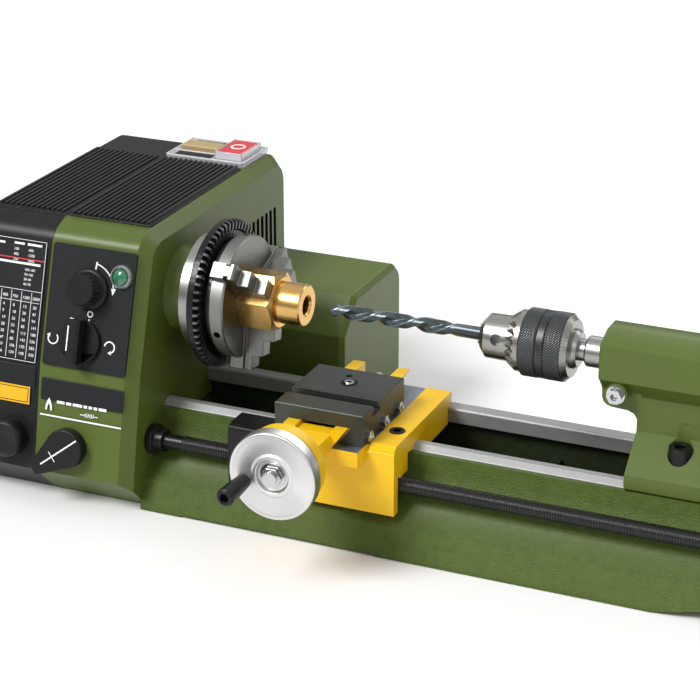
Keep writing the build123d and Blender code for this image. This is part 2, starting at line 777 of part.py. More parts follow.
def leadscrew_bracket():
    x0 = bed_right
    x1 = x0 + bracket_width
    outline = [(screw_y - 13, screw_z - 15), (screw_y + 20, screw_z - 15), (screw_y + 20, way_seat - 2),
               (screw_y - 6, way_seat - 2), (screw_y - 13, screw_z + 4)]
    body = along_x(outline, x0, x1)
    body -= rod_x(x0 - 1, x1 + 1, journal_r + fit, screw_y, screw_z)
    for z in (screw_z - 8, screw_z + 2):
        plane = Plane((x1, screw_y + 14, z), x_dir=(0, 1, 0), z_dir=(-1, 0, 0))
        body -= extrude(plane * RegularPolygon(2.4, 6), amount=3.0)
    return body


def hand_wheel_profile(r, width, bore):
    """(radius, depth) outline of a dished hand wheel, its front face at depth 0."""
    return [(bore, 3.0), (9.0, 3.0), (10.0, 0.9), (12.0, 0.9), (13.0, 2.0), (r - 3.5, 0.4), (r - 2.0, 0.0),
            (r - 0.6, 0.6), (r, 2.0), (r, rim_width), (r - 2.5, rim_width), (r - 3.5, 5.0), (13.0, 5.8),
            (12.0, width), (bore, width)]


def leadscrew_wheel():
    front = bed_right + bracket_width + 2.0 + wheel_width
    points = [(front - depth, r) for r, depth in hand_wheel_profile(wheel_r, wheel_width, journal_r)]
    body = turned_x(points, screw_y, screw_z)
    body -= rod_x(front - 4.0, front, 2.0, screw_y - grip_offset, screw_z)
    return body


def leadscrew_grip():
    front = bed_right + bracket_width + 2.0 + wheel_width
    y = screw_y - grip_offset
    body = turned_x([(front + 0.3, 0), (front + 0.3, grip_r - 0.9), (front + grip_length * 0.6, grip_r),
                     (front + grip_length - 1, grip_r), (front + grip_length, grip_r - 1),
                     (front + grip_length, 0)], y, screw_z)
    body += rod_x(front - 3.8, front + 0.5, 2.0 - fit, y, screw_z)
    return body


# ---- carriage ----

def saddle():
    way_gap = fit
    under_way = way_top + way_gap
    outline = [(saddle_back, under_way), (saddle_back, table_top), (apron_front + 3.0, table_top),
               (apron_front, table_top - 3.0), (apron_front, apron_bottom),
               (apron_front + apron_thick, apron_bottom), (apron_front + apron_thick, screw_z + screw_r + gap + 3),
               (apron_front + apron_thick + 3, screw_z + screw_r + gap), (-wall_out - 4.1, screw_z + screw_r + gap),
               (-wall_out - 4.1, way_top - 2.0), (-way_out - 0.7, way_top - ridge_slope + 0.4),
               (-way_out - 0.05, way_top - ridge_slope + 0.1),
               (-way_out + 3.85, under_way), (-way_in + 0.6, under_way), (-way_in + 0.6, way_seat - 1.0),
               (rear_way_in - 0.6, way_seat - 1.0), (rear_way_in - 0.6, under_way)]
    body = along_x(outline, saddle_left, saddle_right)
    arm = [(saddle_back, under_way), (saddle_back, arm_top - 1.0), (saddle_back - 1.0, arm_top),
           (apron_front + 4.0, arm_top), (apron_front + 1.0, arm_top - 1.6), (apron_front, arm_top - 5.0),
           (apron_front, table_top - 8.0), (apron_front + 8, table_top - 8.0), (apron_front + 8, under_way + 1)]
    body += along_x(arm, saddle_right - arm_width, saddle_right)
    half = slide_width / 2
    body += block(slide_x - half, slide_x + half, table_front, apron_front + 4, table_bottom, table_top)
    shallow = tail_height / tan(radians(tail_angle))
    top = table_top + tail_height
    tail = [(slide_x - tail_half + shallow, table_top - 1), (slide_x - tail_half + shallow, table_top),
            (slide_x - tail_half, top), (slide_x + tail_half, top),
            (slide_x + tail_half - shallow, table_top), (slide_x + tail_half - shallow, table_top - 1)]
    body += along_y(tail, table_front, saddle_back)
    boss_front = cross_wheel_front + wheel_width + 0.6
    drum_back = boss_front + 9.0
    body += turned_y([(0, table_front + 2), (boss_r, table_front + 2), (boss_r, drum_back + 10.0),
                      (drum_r - 2.0, drum_back), (drum_r, drum_back - 1.5), (drum_r, boss_front),
                      (0, boss_front)], slide_x, cross_z)
    body -= block(slide_x - drum_r, slide_x + drum_r, drum_back + 1.5, table_front - 0.3, cross_z + 4.2, top + 8)
    body -= block(slide_x - channel_half, slide_x + channel_half, table_front + 9, saddle_back + 1,
                  cross_z - 6.5, top + 1)
    body -= block(slide_x - channel_half, slide_x + channel_half, table_front - 1, table_front + 10,
                  top - 2.2, top + 8)
    body -= rod_y(boss_front - 1, table_front + 10, cross_r + fit, slide_x, cross_z)
    body -= rod_z(arm_top - 6.0, arm_top + 1, lock_screw_r, saddle_right - arm_width / 2, lock_screw_y)
    return body


lock_screw_r = 4.6
lock_screw_y = -34.0


def saddle_screw():
    """Black set screw sunk in the top of the right arm."""
    x = saddle_right - arm_width / 2
    body = rod_z(arm_top - 6.0, arm_top + 0.6, lock_screw_r, x, lock_screw_y)
    plane = Plane((x, lock_screw_y, arm_top + 0.6), x_dir=(1, 0, 0), z_dir=(0, 0, -1))
    body -= extrude(plane * RegularPolygon(2.6, 6), amount=4.0)
    return body


def saddle_keeper():
    x0 = saddle_left + 8
    x1 = saddle_right - 8
    return block(x0, x1, -wall_in + 0.8, rear_way_out - 4.8, way_seat - 7.0, way_seat - 1.0)


def half_nut_housing():
    """Black nut housing on the left of the apron, open round the lead screw."""
    x1 = saddle_left
    x0 = x1 - 27.8
    y0 = apron_front
    y1 = -wall_out - 5.2
    top = table_top - 2.3
    outline = [(y0, screw_z - 13.5), (y0, top - 5.0), (y0 + 1.5, top - 1.5), (y0 + 5.0, top),
               (y1, top), (y1, screw_z - 2.0), (screw_y + 5.4, screw_z - 8.0), (screw_y, screw_z - 13.5)]
    body = along_x(outline, x0, x1)
    body -= rod_x(x0 - 1, x1 + 1, screw_r + gap, screw_y, screw_z)
    return body


def cross_slide():
    half = slide_width / 2
    under = table_top + fit
    top = under + slide_height
    body = block(slide_x - half, slide_x + half, slide_front, slide_back, under, top)
    upper = body.faces().sort_by(Axis.Z)[-1]
    body = chamfer(upper.edges(), 0.5)
    shallow = tail_height / tan(radians(tail_angle))
    roof = table_top + tail_height + fit
    run = (roof - under) / tan(radians(tail_angle))
    foot = tail_half - shallow + fit
    void = [(slide_x - foot, under - 1), (slide_x - foot, under), (slide_x - foot - run, roof),
            (slide_x + foot + run + gib_thick + 2 * fit, roof), (slide_x + foot + gib_thick + 2 * fit, under),
            (slide_x + foot + gib_thick + 2 * fit, under - 1)]
    body -= along_y(void, slide_front - 1, slide_back + 1)
    neck = slot_neck / 2
    wide = slot_wide / 2
    body -= block(slide_x - half - 1, slide_x + half + 1, slot_y - neck, slot_y + neck, top - 6.0, top + 1)
    body -= block(slide_x - half - 1, slide_x + half + 1, slot_y - wide, slot_y + wide, top - 6.0, top - 3.2)
    body -= rod_z(roof - 1, top + 1, 2.6, slide_x + 1.0, -19.0)
    body -= rod_z(top - 3.0, top + 1, 2.0, slide_x - 3.0, -9.5)
    for y in gib_rows:
        body -= rod_x(slide_x + foot, slide_x + half + 1, 1.6, y, gib_screw_z)
    return body


gib_rows = (-53.0, -30.0, -8.0)
gib_screw_z = table_top + 4.6


def dovetail_gib():
    """Thin strip between the dovetail and the right side of the slide."""
    under = table_top + fit
    shallow = tail_height / tan(radians(tail_angle))
    roof = table_top + tail_height
    run = (roof - under) / tan(radians(tail_angle))
    foot = slide_x + tail_half - shallow + 2 * fit
    side = gib_thick + fit
    strip = [(foot, under), (foot + run, roof), (foot + run + side, roof), (foot + side, under)]
    return along_y(strip, slide_front + 1.0, slide_back - 1.0)


def gib_screws():
    half = slide_width / 2
    solids = []
    shallow = tail_height / tan(radians(tail_angle))
    foot = slide_x + tail_half - shallow + 4 * fit + gib_thick
    lean = (gib_screw_z - table_top) / tan(radians(tail_angle))
    for y in gib_rows:
        shank = rod_x(foot + lean + 1.4, slide_x + half + 3.4, 1.6, y, gib_screw_z)
        nut_plane = Plane((slide_x + half, y, gib_screw_z), x_dir=(0, 1, 0), z_dir=(1, 0, 0))
        nut = extrude(nut_plane * RegularPolygon(3.3, 6), amount=2.2)
        slot = block(slide_x + half + 2.8, slide_x + half + 4, y - 2, y + 2, gib_screw_z - 0.3, gib_screw_z + 0.3)
        solids.append(shank + nut - slot)
    return Compound(children=solids)


def slide_lock_screw():
    top = table_top + fit + slide_height
    x = slide_x + 1.0
    washer = rod_z(top, top + 0.8, 5.0, x, -19.0)
    head = rod_z(top + 0.8, top + 3.2, 3.6, x, -19.0)
    plane = Plane((x, -19.0, top + 3.2), x_dir=(1, 0, 0), z_dir=(0, 0, -1))
    head -= extrude(plane * RegularPolygon(2.0, 6), amount=2.0)
    shank = rod_z(cross_z + cross_r + 1.4, top + 1, 2.6, x, -19.0)
    return washer + head + shank


def cross_nut():
    roof = table_top + tail_height + fit
    body = block(slide_x - channel_half + 0.8, slide_x + channel_half - 0.8, -30.0, -8.0, cross_z - 5.8, roof)
    body -= rod_y(-31, -7, cross_r + fit, slide_x, cross_z)
    body -= rod_z(cross_z + cross_r + 1.4, roof + 1, 2.6, slide_x + 1.0, -19.0)
    return body


def cross_screw():
    front = cross_wheel_front - 1.0
    body = rod_y(front, saddle_back - 4, cross_r, slide_x, cross_z)
    return body


def cross_wheel():
    points = [(r, cross_wheel_front + depth) for r, depth in hand_wheel_profile(wheel_r, wheel_width, cross_r)]
    body = turned_y(points, slide_x, cross_z)
    pin_x = slide_x - grip_offset * cos(grip_angle)
    pin_z = cross_z - grip_offset * sin(grip_angle)
    body -= rod_y(cross_wheel_front - 1, cross_wheel_front + 4.5, 2.0, pin_x, pin_z)
    return body


def wheel_nut():
    """Domed lock nut in the middle of the cross wheel."""
    y1 = cross_wheel_front + 3.0
    plane = Plane((slide_x, y1, cross_z), x_dir=(1, 0, 0), z_dir=(0, -1, 0))
    nut = extrude(plane * RegularPolygon(6.2, 6), amount=4.0)
    cap = rod_y(y1 - 6.0, y1 - 4.0, 4.2, slide_x, cross_z)
    washer = rod_y(y1 - 0.8, y1, 7.6, slide_x, cross_z)
    return nut + cap + washer - rod_y(cross_wheel_front - 1.0, y1 + 1, cross_r, slide_x, cross_z)


def cross_grip():
    y0 = cross_wheel_front - 0.3
    x = slide_x - grip_offset * cos(grip_angle)
    z = cross_z - grip_offset * sin(grip_angle)
    points = [(0, y0), (grip_r - 0.9, y0), (grip_r, y0 - grip_length * 0.6), (grip_r, y0 - grip_length + 1),
              (grip_r - 1, y0 - grip_length), (0, y0 - grip_length)]
    body = turned_y(points, x, z)
    body += rod_y(y0 - 0.5, cross_wheel_front + 4.0, 2.0 - fit, x, z)
    body -= socket_y(y0 - grip_length, 4.0, 2.9, x, z)
    return body


# ---- tailstock ----

tail_thread_r = 4.0
tail_wheel_left = barrel_right + 16.0
tail_quill_right = barrel_right - 20.0


def tailstock_body():
    half = barrel_half
    low = spindle_height - 19.5
    barrel = [(-6.5, barrel_top), (-half, barrel_top - 6.0), (-half, low + 12), (-neck_half, low + 3.6),
              (-half + 9, low), (half - 9, low), (neck_half, low + 3.6), (half, low + 12),
              (half, barrel_top - 6.0), (6.5, barrel_top)]
    body = along_x(barrel, barrel_left, barrel_right)
    left_face = body.faces().sort_by(Axis.X)[0]
    body = chamfer(left_face.edges(), 1.0)
    under = way_top + fit
    foot_z = under + foot_height
    base = [(-neck_half, low + 2), (-neck_half, low - neck_drop), (-neck_half - 20.5, foot_z),
            (-neck_half - 21.0, foot_z - 4), (-way_out - 3.0, way_top - 2.2),
            (-way_out - 0.05, way_top - ridge_slope + 0.1), (-way_out + 3.85, under),
            (-way_in + 0.6, under), (-way_in + 0.6, way_seat + 3), (rear_way_in - 0.6, way_seat + 3),
            (rear_way_in - 0.6, under), (rear_way_out + 2, under), (rear_way_out + 2, foot_z),
            (neck_half + 4, low - neck_drop), (neck_half, low + 2)]
    body += along_x(base, base_left, barrel_right - 6)
    web = [(barrel_left + 0.6, low + 10), (barrel_left + 0.6, low - 1.5), (barrel_left + 1.6, low - 4.2),
           (barrel_left + 3.6, low - 6.0), (barrel_left + 6.5, low - 6.8), (base_left - 5.5, low - 7.4),
           (base_left - 2.0, low - 8.8), (base_left - 0.2, low - 11.4), (base_left + 0.5, low - 15),
           (base_left + 2, low - 15), (base_left + 2, low + 10)]
    body += along_y(web, -neck_half, neck_half)
    body += rod_y(-half, -neck_half + 1, 6.4, lock_x, lock_z)
    body -= rod_x(barrel_left - 1, tail_quill_right + 2, quill_r + fit)
    body -= rod_x(barrel_left - 1, barrel_right + 1, tail_thread_r + 2.0)
    body -= rod_y(-half - 1, -quill_r + 1, 3.0, lock_x, lock_z)
    body -= rod_z(way_seat - 10, way_top + 24, 4.0, clamp_x, clamp_y)
    body -= rod_z(screw_seat, way_top + 34, screw_head_r + gap, base_screw_x, base_screw_y)
    body -= rod_z(screw_seat - 10, screw_seat + 1, screw_shank_r, base_screw_x, base_screw_y)
    return body + end_cap()


lock_x = barrel_left + 11.0
lock_z = spindle_height - 15.0
clamp_x = base_left + 28.0
clamp_y = 4.0
base_screw_x = base_left + 27.2
base_screw_y = -neck_half - 6.0
screw_seat = way_top + 13.1
screw_head_r = 6.5
screw_shank_r = 4.0


def quill_lock():
    face = -barrel_half
    washer = rod_y(face - 1.0, face, 5.4, lock_x, lock_z)
    plane = Plane((lock_x, face - 1.0, lock_z), x_dir=(1, 0, 0), z_dir=(0, -1, 0))
    head = extrude(plane * RegularPolygon(4.6, 6), amount=3.6)
    shank = rod_y(face - 1.5, -quill_r - 2.5, 3.0 - fit, lock_x, lock_z)
    body = washer + head + shank
    return body - socket_y(face - 4.6, 2.4, 2.2, lock_x, lock_z)


def base_screw():
    """Socket screw standing in the sloping front of the tailstock base."""
    top = screw_seat + 9.5
    body = rod_z(screw_seat, top, screw_head_r, base_screw_x, base_screw_y)
    body += rod_z(screw_seat - 9, screw_seat + 1, screw_shank_r - fit, base_screw_x, base_screw_y)
    plane = Plane((base_screw_x, base_screw_y, top), x_dir=(1, 0, 0), z_dir=(0, 0, 1))
    return body - plane * extrude(RegularPolygon(3.5, 6), amount=-5.0)


def clamp_plate():
    top = way_seat - gap
    plate = block(clamp_x - 18, clamp_x + 18, -wall_in + 0.8, rear_way_out - 4.8, top - 7, top)
    bolt = rod_z(top - 7, way_top + 20, 4.0 - 0.5, clamp_x, clamp_y)
    head = rod_z(top - 11, top - 7, 6.5, clamp_x, clamp_y)
    return plate + bolt + head


def quill():
    x0 = quill_front
    x1 = tail_quill_right - 62.0
    x2 = tail_quill_right
    points = [(x0, 5.0), (x0, quill_r - 1.0), (x0 + 1.0, quill_r), (x2, quill_r), (x2, tail_thread_r + fit),
              (x1, tail_thread_r + fit), (x1, 5.0)]
    return turned_x(points)


def quill_screw():
    x0 = tail_quill_right - 40.0
    points = [(x0, 0), (x0, tail_thread_r), (tail_wheel_left + wheel_width, tail_thread_r),
              (tail_wheel_left + wheel_width, 0)]
    body = turned_x(points)
    return body


def end_cap():
    x0 = barrel_right
    body = turned_x([(x0, tail_thread_r + fit), (x0, 15.0), (x0 + 3, 15.0), (x0 + 4, 11.0), (x0 + 14, 11.0),
                     (x0 + 14, tail_thread_r + fit)])
    return body


def tail_wheel():
    front = tail_wheel_left + wheel_width
    points = [(front - depth, r) for r, depth in hand_wheel_profile(wheel_r, wheel_width, tail_thread_r)]
    body = turned_x(points)
    body -= rod_x(front - 4.0, front, 2.0, 0, spindle_height + grip_offset)
    return body


def tail_grip():
    front = tail_wheel_left + wheel_width
    z = spindle_height + grip_offset
    body = turned_x([(front + 0.3, 0), (front + 0.3, grip_r - 0.9), (front + grip_length * 0.6, grip_r),
                     (front + grip_length - 1, grip_r), (front + grip_length, grip_r - 1),
                     (front + grip_length, 0)], 0, z)
    body += rod_x(front - 3.8, front + 0.5, 2.0 - fit, 0, z)
    return body


def drill_chuck():
    """Nose, core and arbor of the keyed drill chuck."""
    x0 = chuck_front
    back = quill_front - 4.0
    points = [(x0, drill_r + 2.2), (x0, 9.0), (x0 + 3.5, 13.0), (x0 + 22.0, 13.4), (x0 + 22.0, 11.5),
              (back - 2.0, 11.5), (back, 10.0), (back, 6.4), (quill_front, 6.4), (quill_front, 5.0),
              (quill_front + 15.0, 5.0), (quill_front + 15.0, 0), (x0 + 52.0, 0), (x0 + 52.0, drill_r + 2.2)]
    body = turned_x(points)
    for i in range(3):
        at = Pos(x0 + 11.5, 0, spindle_height) * Rot(77.0 + 120.0 * i, 0, 0)
        body -= at * Pos(0, 0, 11.0) * Cylinder(key_hole_r, 7.0)
    return body


def chuck_sleeve():
    """Sleeve turned by the key: bevel teeth in front, knurled grip behind."""
    x0 = chuck_front + 22.6
    x1 = quill_front - 7.5
    body = turned_x([(x0, 11.5 + fit), (x0, 14.6), (x0 + 4.6, 18.0), (x0 + 6.0, 18.0), (x0 + 6.4, sleeve_r - 0.8),
                     (x0 + 7.4, sleeve_r), (x1 - 1.2, sleeve_r), (x1, sleeve_r - 1.2), (x1, 11.5 + fit)])
    cutters = []
    for i in range(30):
        at = Pos(x0 + 1.6, 0, spindle_height) * Rot(i * 12.0, 0, 0) * Pos(0, 0, 16.2)
        cutters.append(at * Rot(0, -38, 0) * Box(9.0, 1.6, 2.6))
    return body - Compound(children=cutters).solids()


def chuck_pins():
    """Three gripping jaws of the drill chuck."""
    x0 = chuck_front - 2.0
    solids = []
    for i in range(3):
        spin = Pos(0, 0, spindle_height) * Rot(i * 120.0, 0, 0)
        pin = Pos(x0 + 12.0, 0, drill_r + 1.0) * Box(24.0, 2.6, 2.0)
        solids.append(spin * pin)
    return Compound(children=solids)


def drill_bit():
    """Twist drill: pointed, two flutes cut as slanting grooves, plain shank."""
    tip = drill_tip
    shank = chuck_front + 40.0
    body = turned_x([(tip, 0), (tip + 2.6, drill_r), (shank, drill_r), (shank, 0)])
    lead = 47.0
    steps = 18
    length = 74.0
    for side in (0.0, 180.0):
        path = []
        for i in range(steps + 1):
            x = tip - 2.0 + length * i / steps
            turn = radians(side + 360.0 * (x - tip) / lead)
            path.append((x, drill_r * 1.02 * cos(turn), spindle_height + drill_r * 1.02 * sin(turn)))
        for a, b in zip(path, path[1:]):
            way = Vector(*b) - Vector(*a)
            middle = (Vector(*b) + Vector(*a)) * 0.5
            plane = Plane(origin=middle, z_dir=way)
            body -= plane * Cylinder(drill_r * 0.56, way.length + 0.8)
    return body


parts = {
    "bed_casting": bed_casting, "bed_ways": bed_ways,
    "headstock_housing": headstock_housing, "top_ribs": top_ribs, "gear_cover": gear_cover,
    "cover_knob": cover_knob, "chart_plates": chart_plates,
    "control_panel": control_panel, "shift_label": shift_label, "speed_knob": speed_knob,
    "direction_switch": direction_switch, "shift_lever": shift_lever, "indicator_lamp": lamp_bezel,
    "switch_plate": switch_plate, "on_button": on_button, "off_button": off_button,
    "motor_housing": motor_housing, "cable_inlet": cable_inlet, "motor_body": motor_body,
    "motor_rotor": motor_rotor, "drive_belt": drive_belt,
    "spindle": spindle, "spindle_pulley": spindle_pulley, "spindle_bearings": spindle_bearings,
    "chuck_flange": chuck_flange, "scroll_ring": scroll_ring, "chuck_body": chuck_body,
    "workpiece": workpiece, "leadscrew": leadscrew, "leadscrew_bracket": leadscrew_bracket,
    "leadscrew_wheel": leadscrew_wheel, "leadscrew_grip": leadscrew_grip, "saddle": saddle,
    "saddle_screw": saddle_screw, "saddle_keeper": saddle_keeper, "half_nut_housing": half_nut_housing,
    "cross_slide": cross_slide, "dovetail_gib": dovetail_gib, "gib_screws": gib_screws,
    "slide_lock_screw": slide_lock_screw, "cross_nut": cross_nut, "cross_screw": cross_screw,
    "cross_wheel": cross_wheel, "wheel_nut": wheel_nut, "cross_grip": cross_grip,
    "tailstock_body": tailstock_body, "quill_lock": quill_lock, "base_screw": base_screw,
    "clamp_plate": clamp_plate, "quill": quill, "quill_screw": quill_screw,
    "tail_wheel": tail_wheel, "tail_grip": tail_grip,
    "drill_chuck": drill_chuck, "chuck_sleeve": chuck_sleeve, "chuck_pins": chuck_pins,
    "drill_bit": drill_bit,
}

os.makedirs("parts", exist_ok=True)
for name, make in parts.items():
    shape = make()
    export_step(shape, "parts/" + name + ".step")
for number, angle in enumerate(jaw_angles):
    export_step(chuck_jaw(angle), "parts/chuck_jaw_%d.step" % (number + 1))
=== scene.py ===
import bpy
import bmesh
import json
import math
import random
from mathutils import Matrix, Vector


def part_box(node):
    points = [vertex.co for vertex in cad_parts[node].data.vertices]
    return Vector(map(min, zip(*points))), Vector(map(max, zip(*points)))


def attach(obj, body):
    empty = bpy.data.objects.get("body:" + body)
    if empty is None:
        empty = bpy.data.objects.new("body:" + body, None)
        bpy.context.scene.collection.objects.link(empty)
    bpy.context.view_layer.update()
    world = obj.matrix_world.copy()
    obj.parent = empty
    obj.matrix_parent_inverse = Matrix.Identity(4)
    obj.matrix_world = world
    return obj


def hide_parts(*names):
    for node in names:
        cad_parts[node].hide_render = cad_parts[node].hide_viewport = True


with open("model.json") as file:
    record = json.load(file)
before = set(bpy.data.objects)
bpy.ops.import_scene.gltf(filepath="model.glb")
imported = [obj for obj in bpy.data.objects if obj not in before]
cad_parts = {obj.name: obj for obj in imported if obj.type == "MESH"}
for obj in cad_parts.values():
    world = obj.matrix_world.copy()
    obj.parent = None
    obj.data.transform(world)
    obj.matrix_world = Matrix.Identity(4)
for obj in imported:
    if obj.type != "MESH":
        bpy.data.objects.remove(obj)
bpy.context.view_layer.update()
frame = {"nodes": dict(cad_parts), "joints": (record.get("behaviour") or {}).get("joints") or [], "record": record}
nodes = frame["nodes"]
scene = bpy.context.scene
mm = 0.001


def newSocket(group, name, inOut, kind, value=None):
    socket = group.interface.new_socket(name=name, in_out=inOut, socket_type=kind)
    if value is not None:
        socket.default_value = value
    return socket


def addNode(tree, kind, **values):
    made = tree.nodes.new(kind)
    for key, value in values.items():
        setattr(made, key, value)
    return made


def mathNode(tree, operation, a, b=None):
    made = addNode(tree, "ShaderNodeMath", operation=operation)
    for index, value in enumerate((a, b)):
        if value is None:
            continue
        if isinstance(value, (int, float)):
            made.inputs[index].default_value = value
        else:
            tree.links.new(value, made.inputs[index])
    return made.outputs[0]


def toneGroup():
    # Slow and fine changes of colour over a surface
    group = bpy.data.node_groups.new("tone", "ShaderNodeTree")
    newSocket(group, "Color", "INPUT", "NodeSocketColor", (0.5, 0.5, 0.5, 1))
    newSocket(group, "Scale", "INPUT", "NodeSocketFloat", 40.0)
    newSocket(group, "Amount", "INPUT", "NodeSocketFloat", 0.1)
    newSocket(group, "Color", "OUTPUT", "NodeSocketColor")
    newSocket(group, "Mask", "OUTPUT", "NodeSocketFloat")
    entry = addNode(group, "NodeGroupInput")
    leave = addNode(group, "NodeGroupOutput")
    coord = addNode(group, "ShaderNodeTexCoord")
    broad = addNode(group, "ShaderNodeTexNoise", noise_dimensions="3D")
    broad.inputs["Detail"].default_value = 4.0
    group.links.new(coord.outputs["Object"], broad.inputs["Vector"])
    group.links.new(entry.outputs["Scale"], broad.inputs["Scale"])
    shift = mathNode(group, "SUBTRACT", broad.outputs["Fac"], 0.5)
    swing = mathNode(group, "MULTIPLY", shift, entry.outputs["Amount"])
    gain = mathNode(group, "ADD", mathNode(group, "MULTIPLY", swing, 2.0), 1.0)
    mix = addNode(group, "ShaderNodeVectorMath", operation="SCALE")
    group.links.new(entry.outputs["Color"], mix.inputs[0])
    group.links.new(gain, mix.inputs["Scale"])
    group.links.new(mix.outputs[0], leave.inputs["Color"])
    group.links.new(broad.outputs["Fac"], leave.inputs["Mask"])
    return group


def grainGroup():
    # Bump heights: a pebbled paint skin and a fine grit
    group = bpy.data.node_groups.new("grain", "ShaderNodeTree")
    newSocket(group, "Scale", "INPUT", "NodeSocketFloat", 600.0)
    newSocket(group, "Pebble", "INPUT", "NodeSocketFloat", 1.0)
    newSocket(group, "Grit", "INPUT", "NodeSocketFloat", 0.2)
    newSocket(group, "Height", "OUTPUT", "NodeSocketFloat")
    entry = addNode(group, "NodeGroupInput")
    leave = addNode(group, "NodeGroupOutput")
    coord = addNode(group, "ShaderNodeTexCoord")
    cells = addNode(group, "ShaderNodeTexVoronoi", feature="SMOOTH_F1")
    cells.inputs["Smoothness"].default_value = 0.7
    fine = addNode(group, "ShaderNodeTexNoise")
    fine.inputs["Detail"].default_value = 3.0
    group.links.new(coord.outputs["Object"], cells.inputs["Vector"])
    group.links.new(coord.outputs["Object"], fine.inputs["Vector"])
    group.links.new(entry.outputs["Scale"], cells.inputs["Scale"])
    group.links.new(mathNode(group, "MULTIPLY", entry.outputs["Scale"], 3.0), fine.inputs["Scale"])
    lumps = mathNode(group, "MULTIPLY", cells.outputs["Distance"], entry.outputs["Pebble"])
    grit = mathNode(group, "MULTIPLY", fine.outputs["Fac"], entry.outputs["Grit"])
    group.links.new(mathNode(group, "ADD", lumps, grit), leave.inputs["Height"])
    return group


def streakGroup():
    # Fine machining lines, stretched along the axis with the small value in Across
    group = bpy.data.node_groups.new("streak", "ShaderNodeTree")
    newSocket(group, "Across", "INPUT", "NodeSocketVector", (4.0, 900.0, 900.0))
    newSocket(group, "Height", "OUTPUT", "NodeSocketFloat")
    entry = addNode(group, "NodeGroupInput")
    leave = addNode(group, "NodeGroupOutput")
    coord = addNode(group, "ShaderNodeTexCoord")
    stretch = addNode(group, "ShaderNodeVectorMath", operation="MULTIPLY")
    lines = addNode(group, "ShaderNodeTexNoise")
    lines.inputs["Scale"].default_value = 1.0
    lines.inputs["Detail"].default_value = 5.0
    lines.inputs["Roughness"].default_value = 0.65
    group.links.new(coord.outputs["Object"], stretch.inputs[0])
    group.links.new(entry.outputs["Across"], stretch.inputs[1])
    group.links.new(stretch.outputs[0], lines.inputs["Vector"])
    group.links.new(lines.outputs["Fac"], leave.inputs["Height"])
    return group


def ringGroup():
    # Turning marks: rings round an axis through Centre along Axis
    group = bpy.data.node_groups.new("turning", "ShaderNodeTree")
    newSocket(group, "Centre", "INPUT", "NodeSocketVector", (0, 0, 0))
    newSocket(group, "Plane", "INPUT", "NodeSocketVector", (0, 1, 1))
    newSocket(group, "Along", "INPUT", "NodeSocketVector", (1, 0, 0))
    newSocket(group, "Lines", "INPUT", "NodeSocketFloat", 1500.0)
    newSocket(group, "Height", "OUTPUT", "NodeSocketFloat")
    entry = addNode(group, "NodeGroupInput")
    leave = addNode(group, "NodeGroupOutput")
    coord = addNode(group, "ShaderNodeTexCoord")
    away = addNode(group, "ShaderNodeVectorMath", operation="SUBTRACT")
    flat = addNode(group, "ShaderNodeVectorMath", operation="MULTIPLY")
    size = addNode(group, "ShaderNodeVectorMath", operation="LENGTH")
    run = addNode(group, "ShaderNodeVectorMath", operation="DOT_PRODUCT")
    group.links.new(coord.outputs["Object"], away.inputs[0])
    group.links.new(entry.outputs["Centre"], away.inputs[1])
    group.links.new(away.outputs[0], flat.inputs[0])
    group.links.new(entry.outputs["Plane"], flat.inputs[1])
    group.links.new(flat.outputs[0], size.inputs[0])
    group.links.new(coord.outputs["Object"], run.inputs[0])
    group.links.new(entry.outputs["Along"], run.inputs[1])
    total = mathNode(group, "ADD", size.outputs["Value"], run.outputs["Value"])
    lines = addNode(group, "ShaderNodeTexNoise", noise_dimensions="1D")
    lines.inputs["Scale"].default_value = 1.0
    lines.inputs["Detail"].default_value = 4.0
    group.links.new(mathNode(group, "MULTIPLY", total, entry.outputs["Lines"]), lines.inputs["W"])
    group.links.new(lines.outputs["Fac"], leave.inputs["Height"])
    return group


groups = {"tone": toneGroup(), "grain": grainGroup(), "streak": streakGroup(), "turning": ringGroup()}
print("shader groups made")


def useGroup(tree, name, **values):
    made = addNode(tree, "ShaderNodeGroup")
    made.node_tree = groups[name]
    for key, value in values.items():
        made.inputs[key].default_value = value
    return made


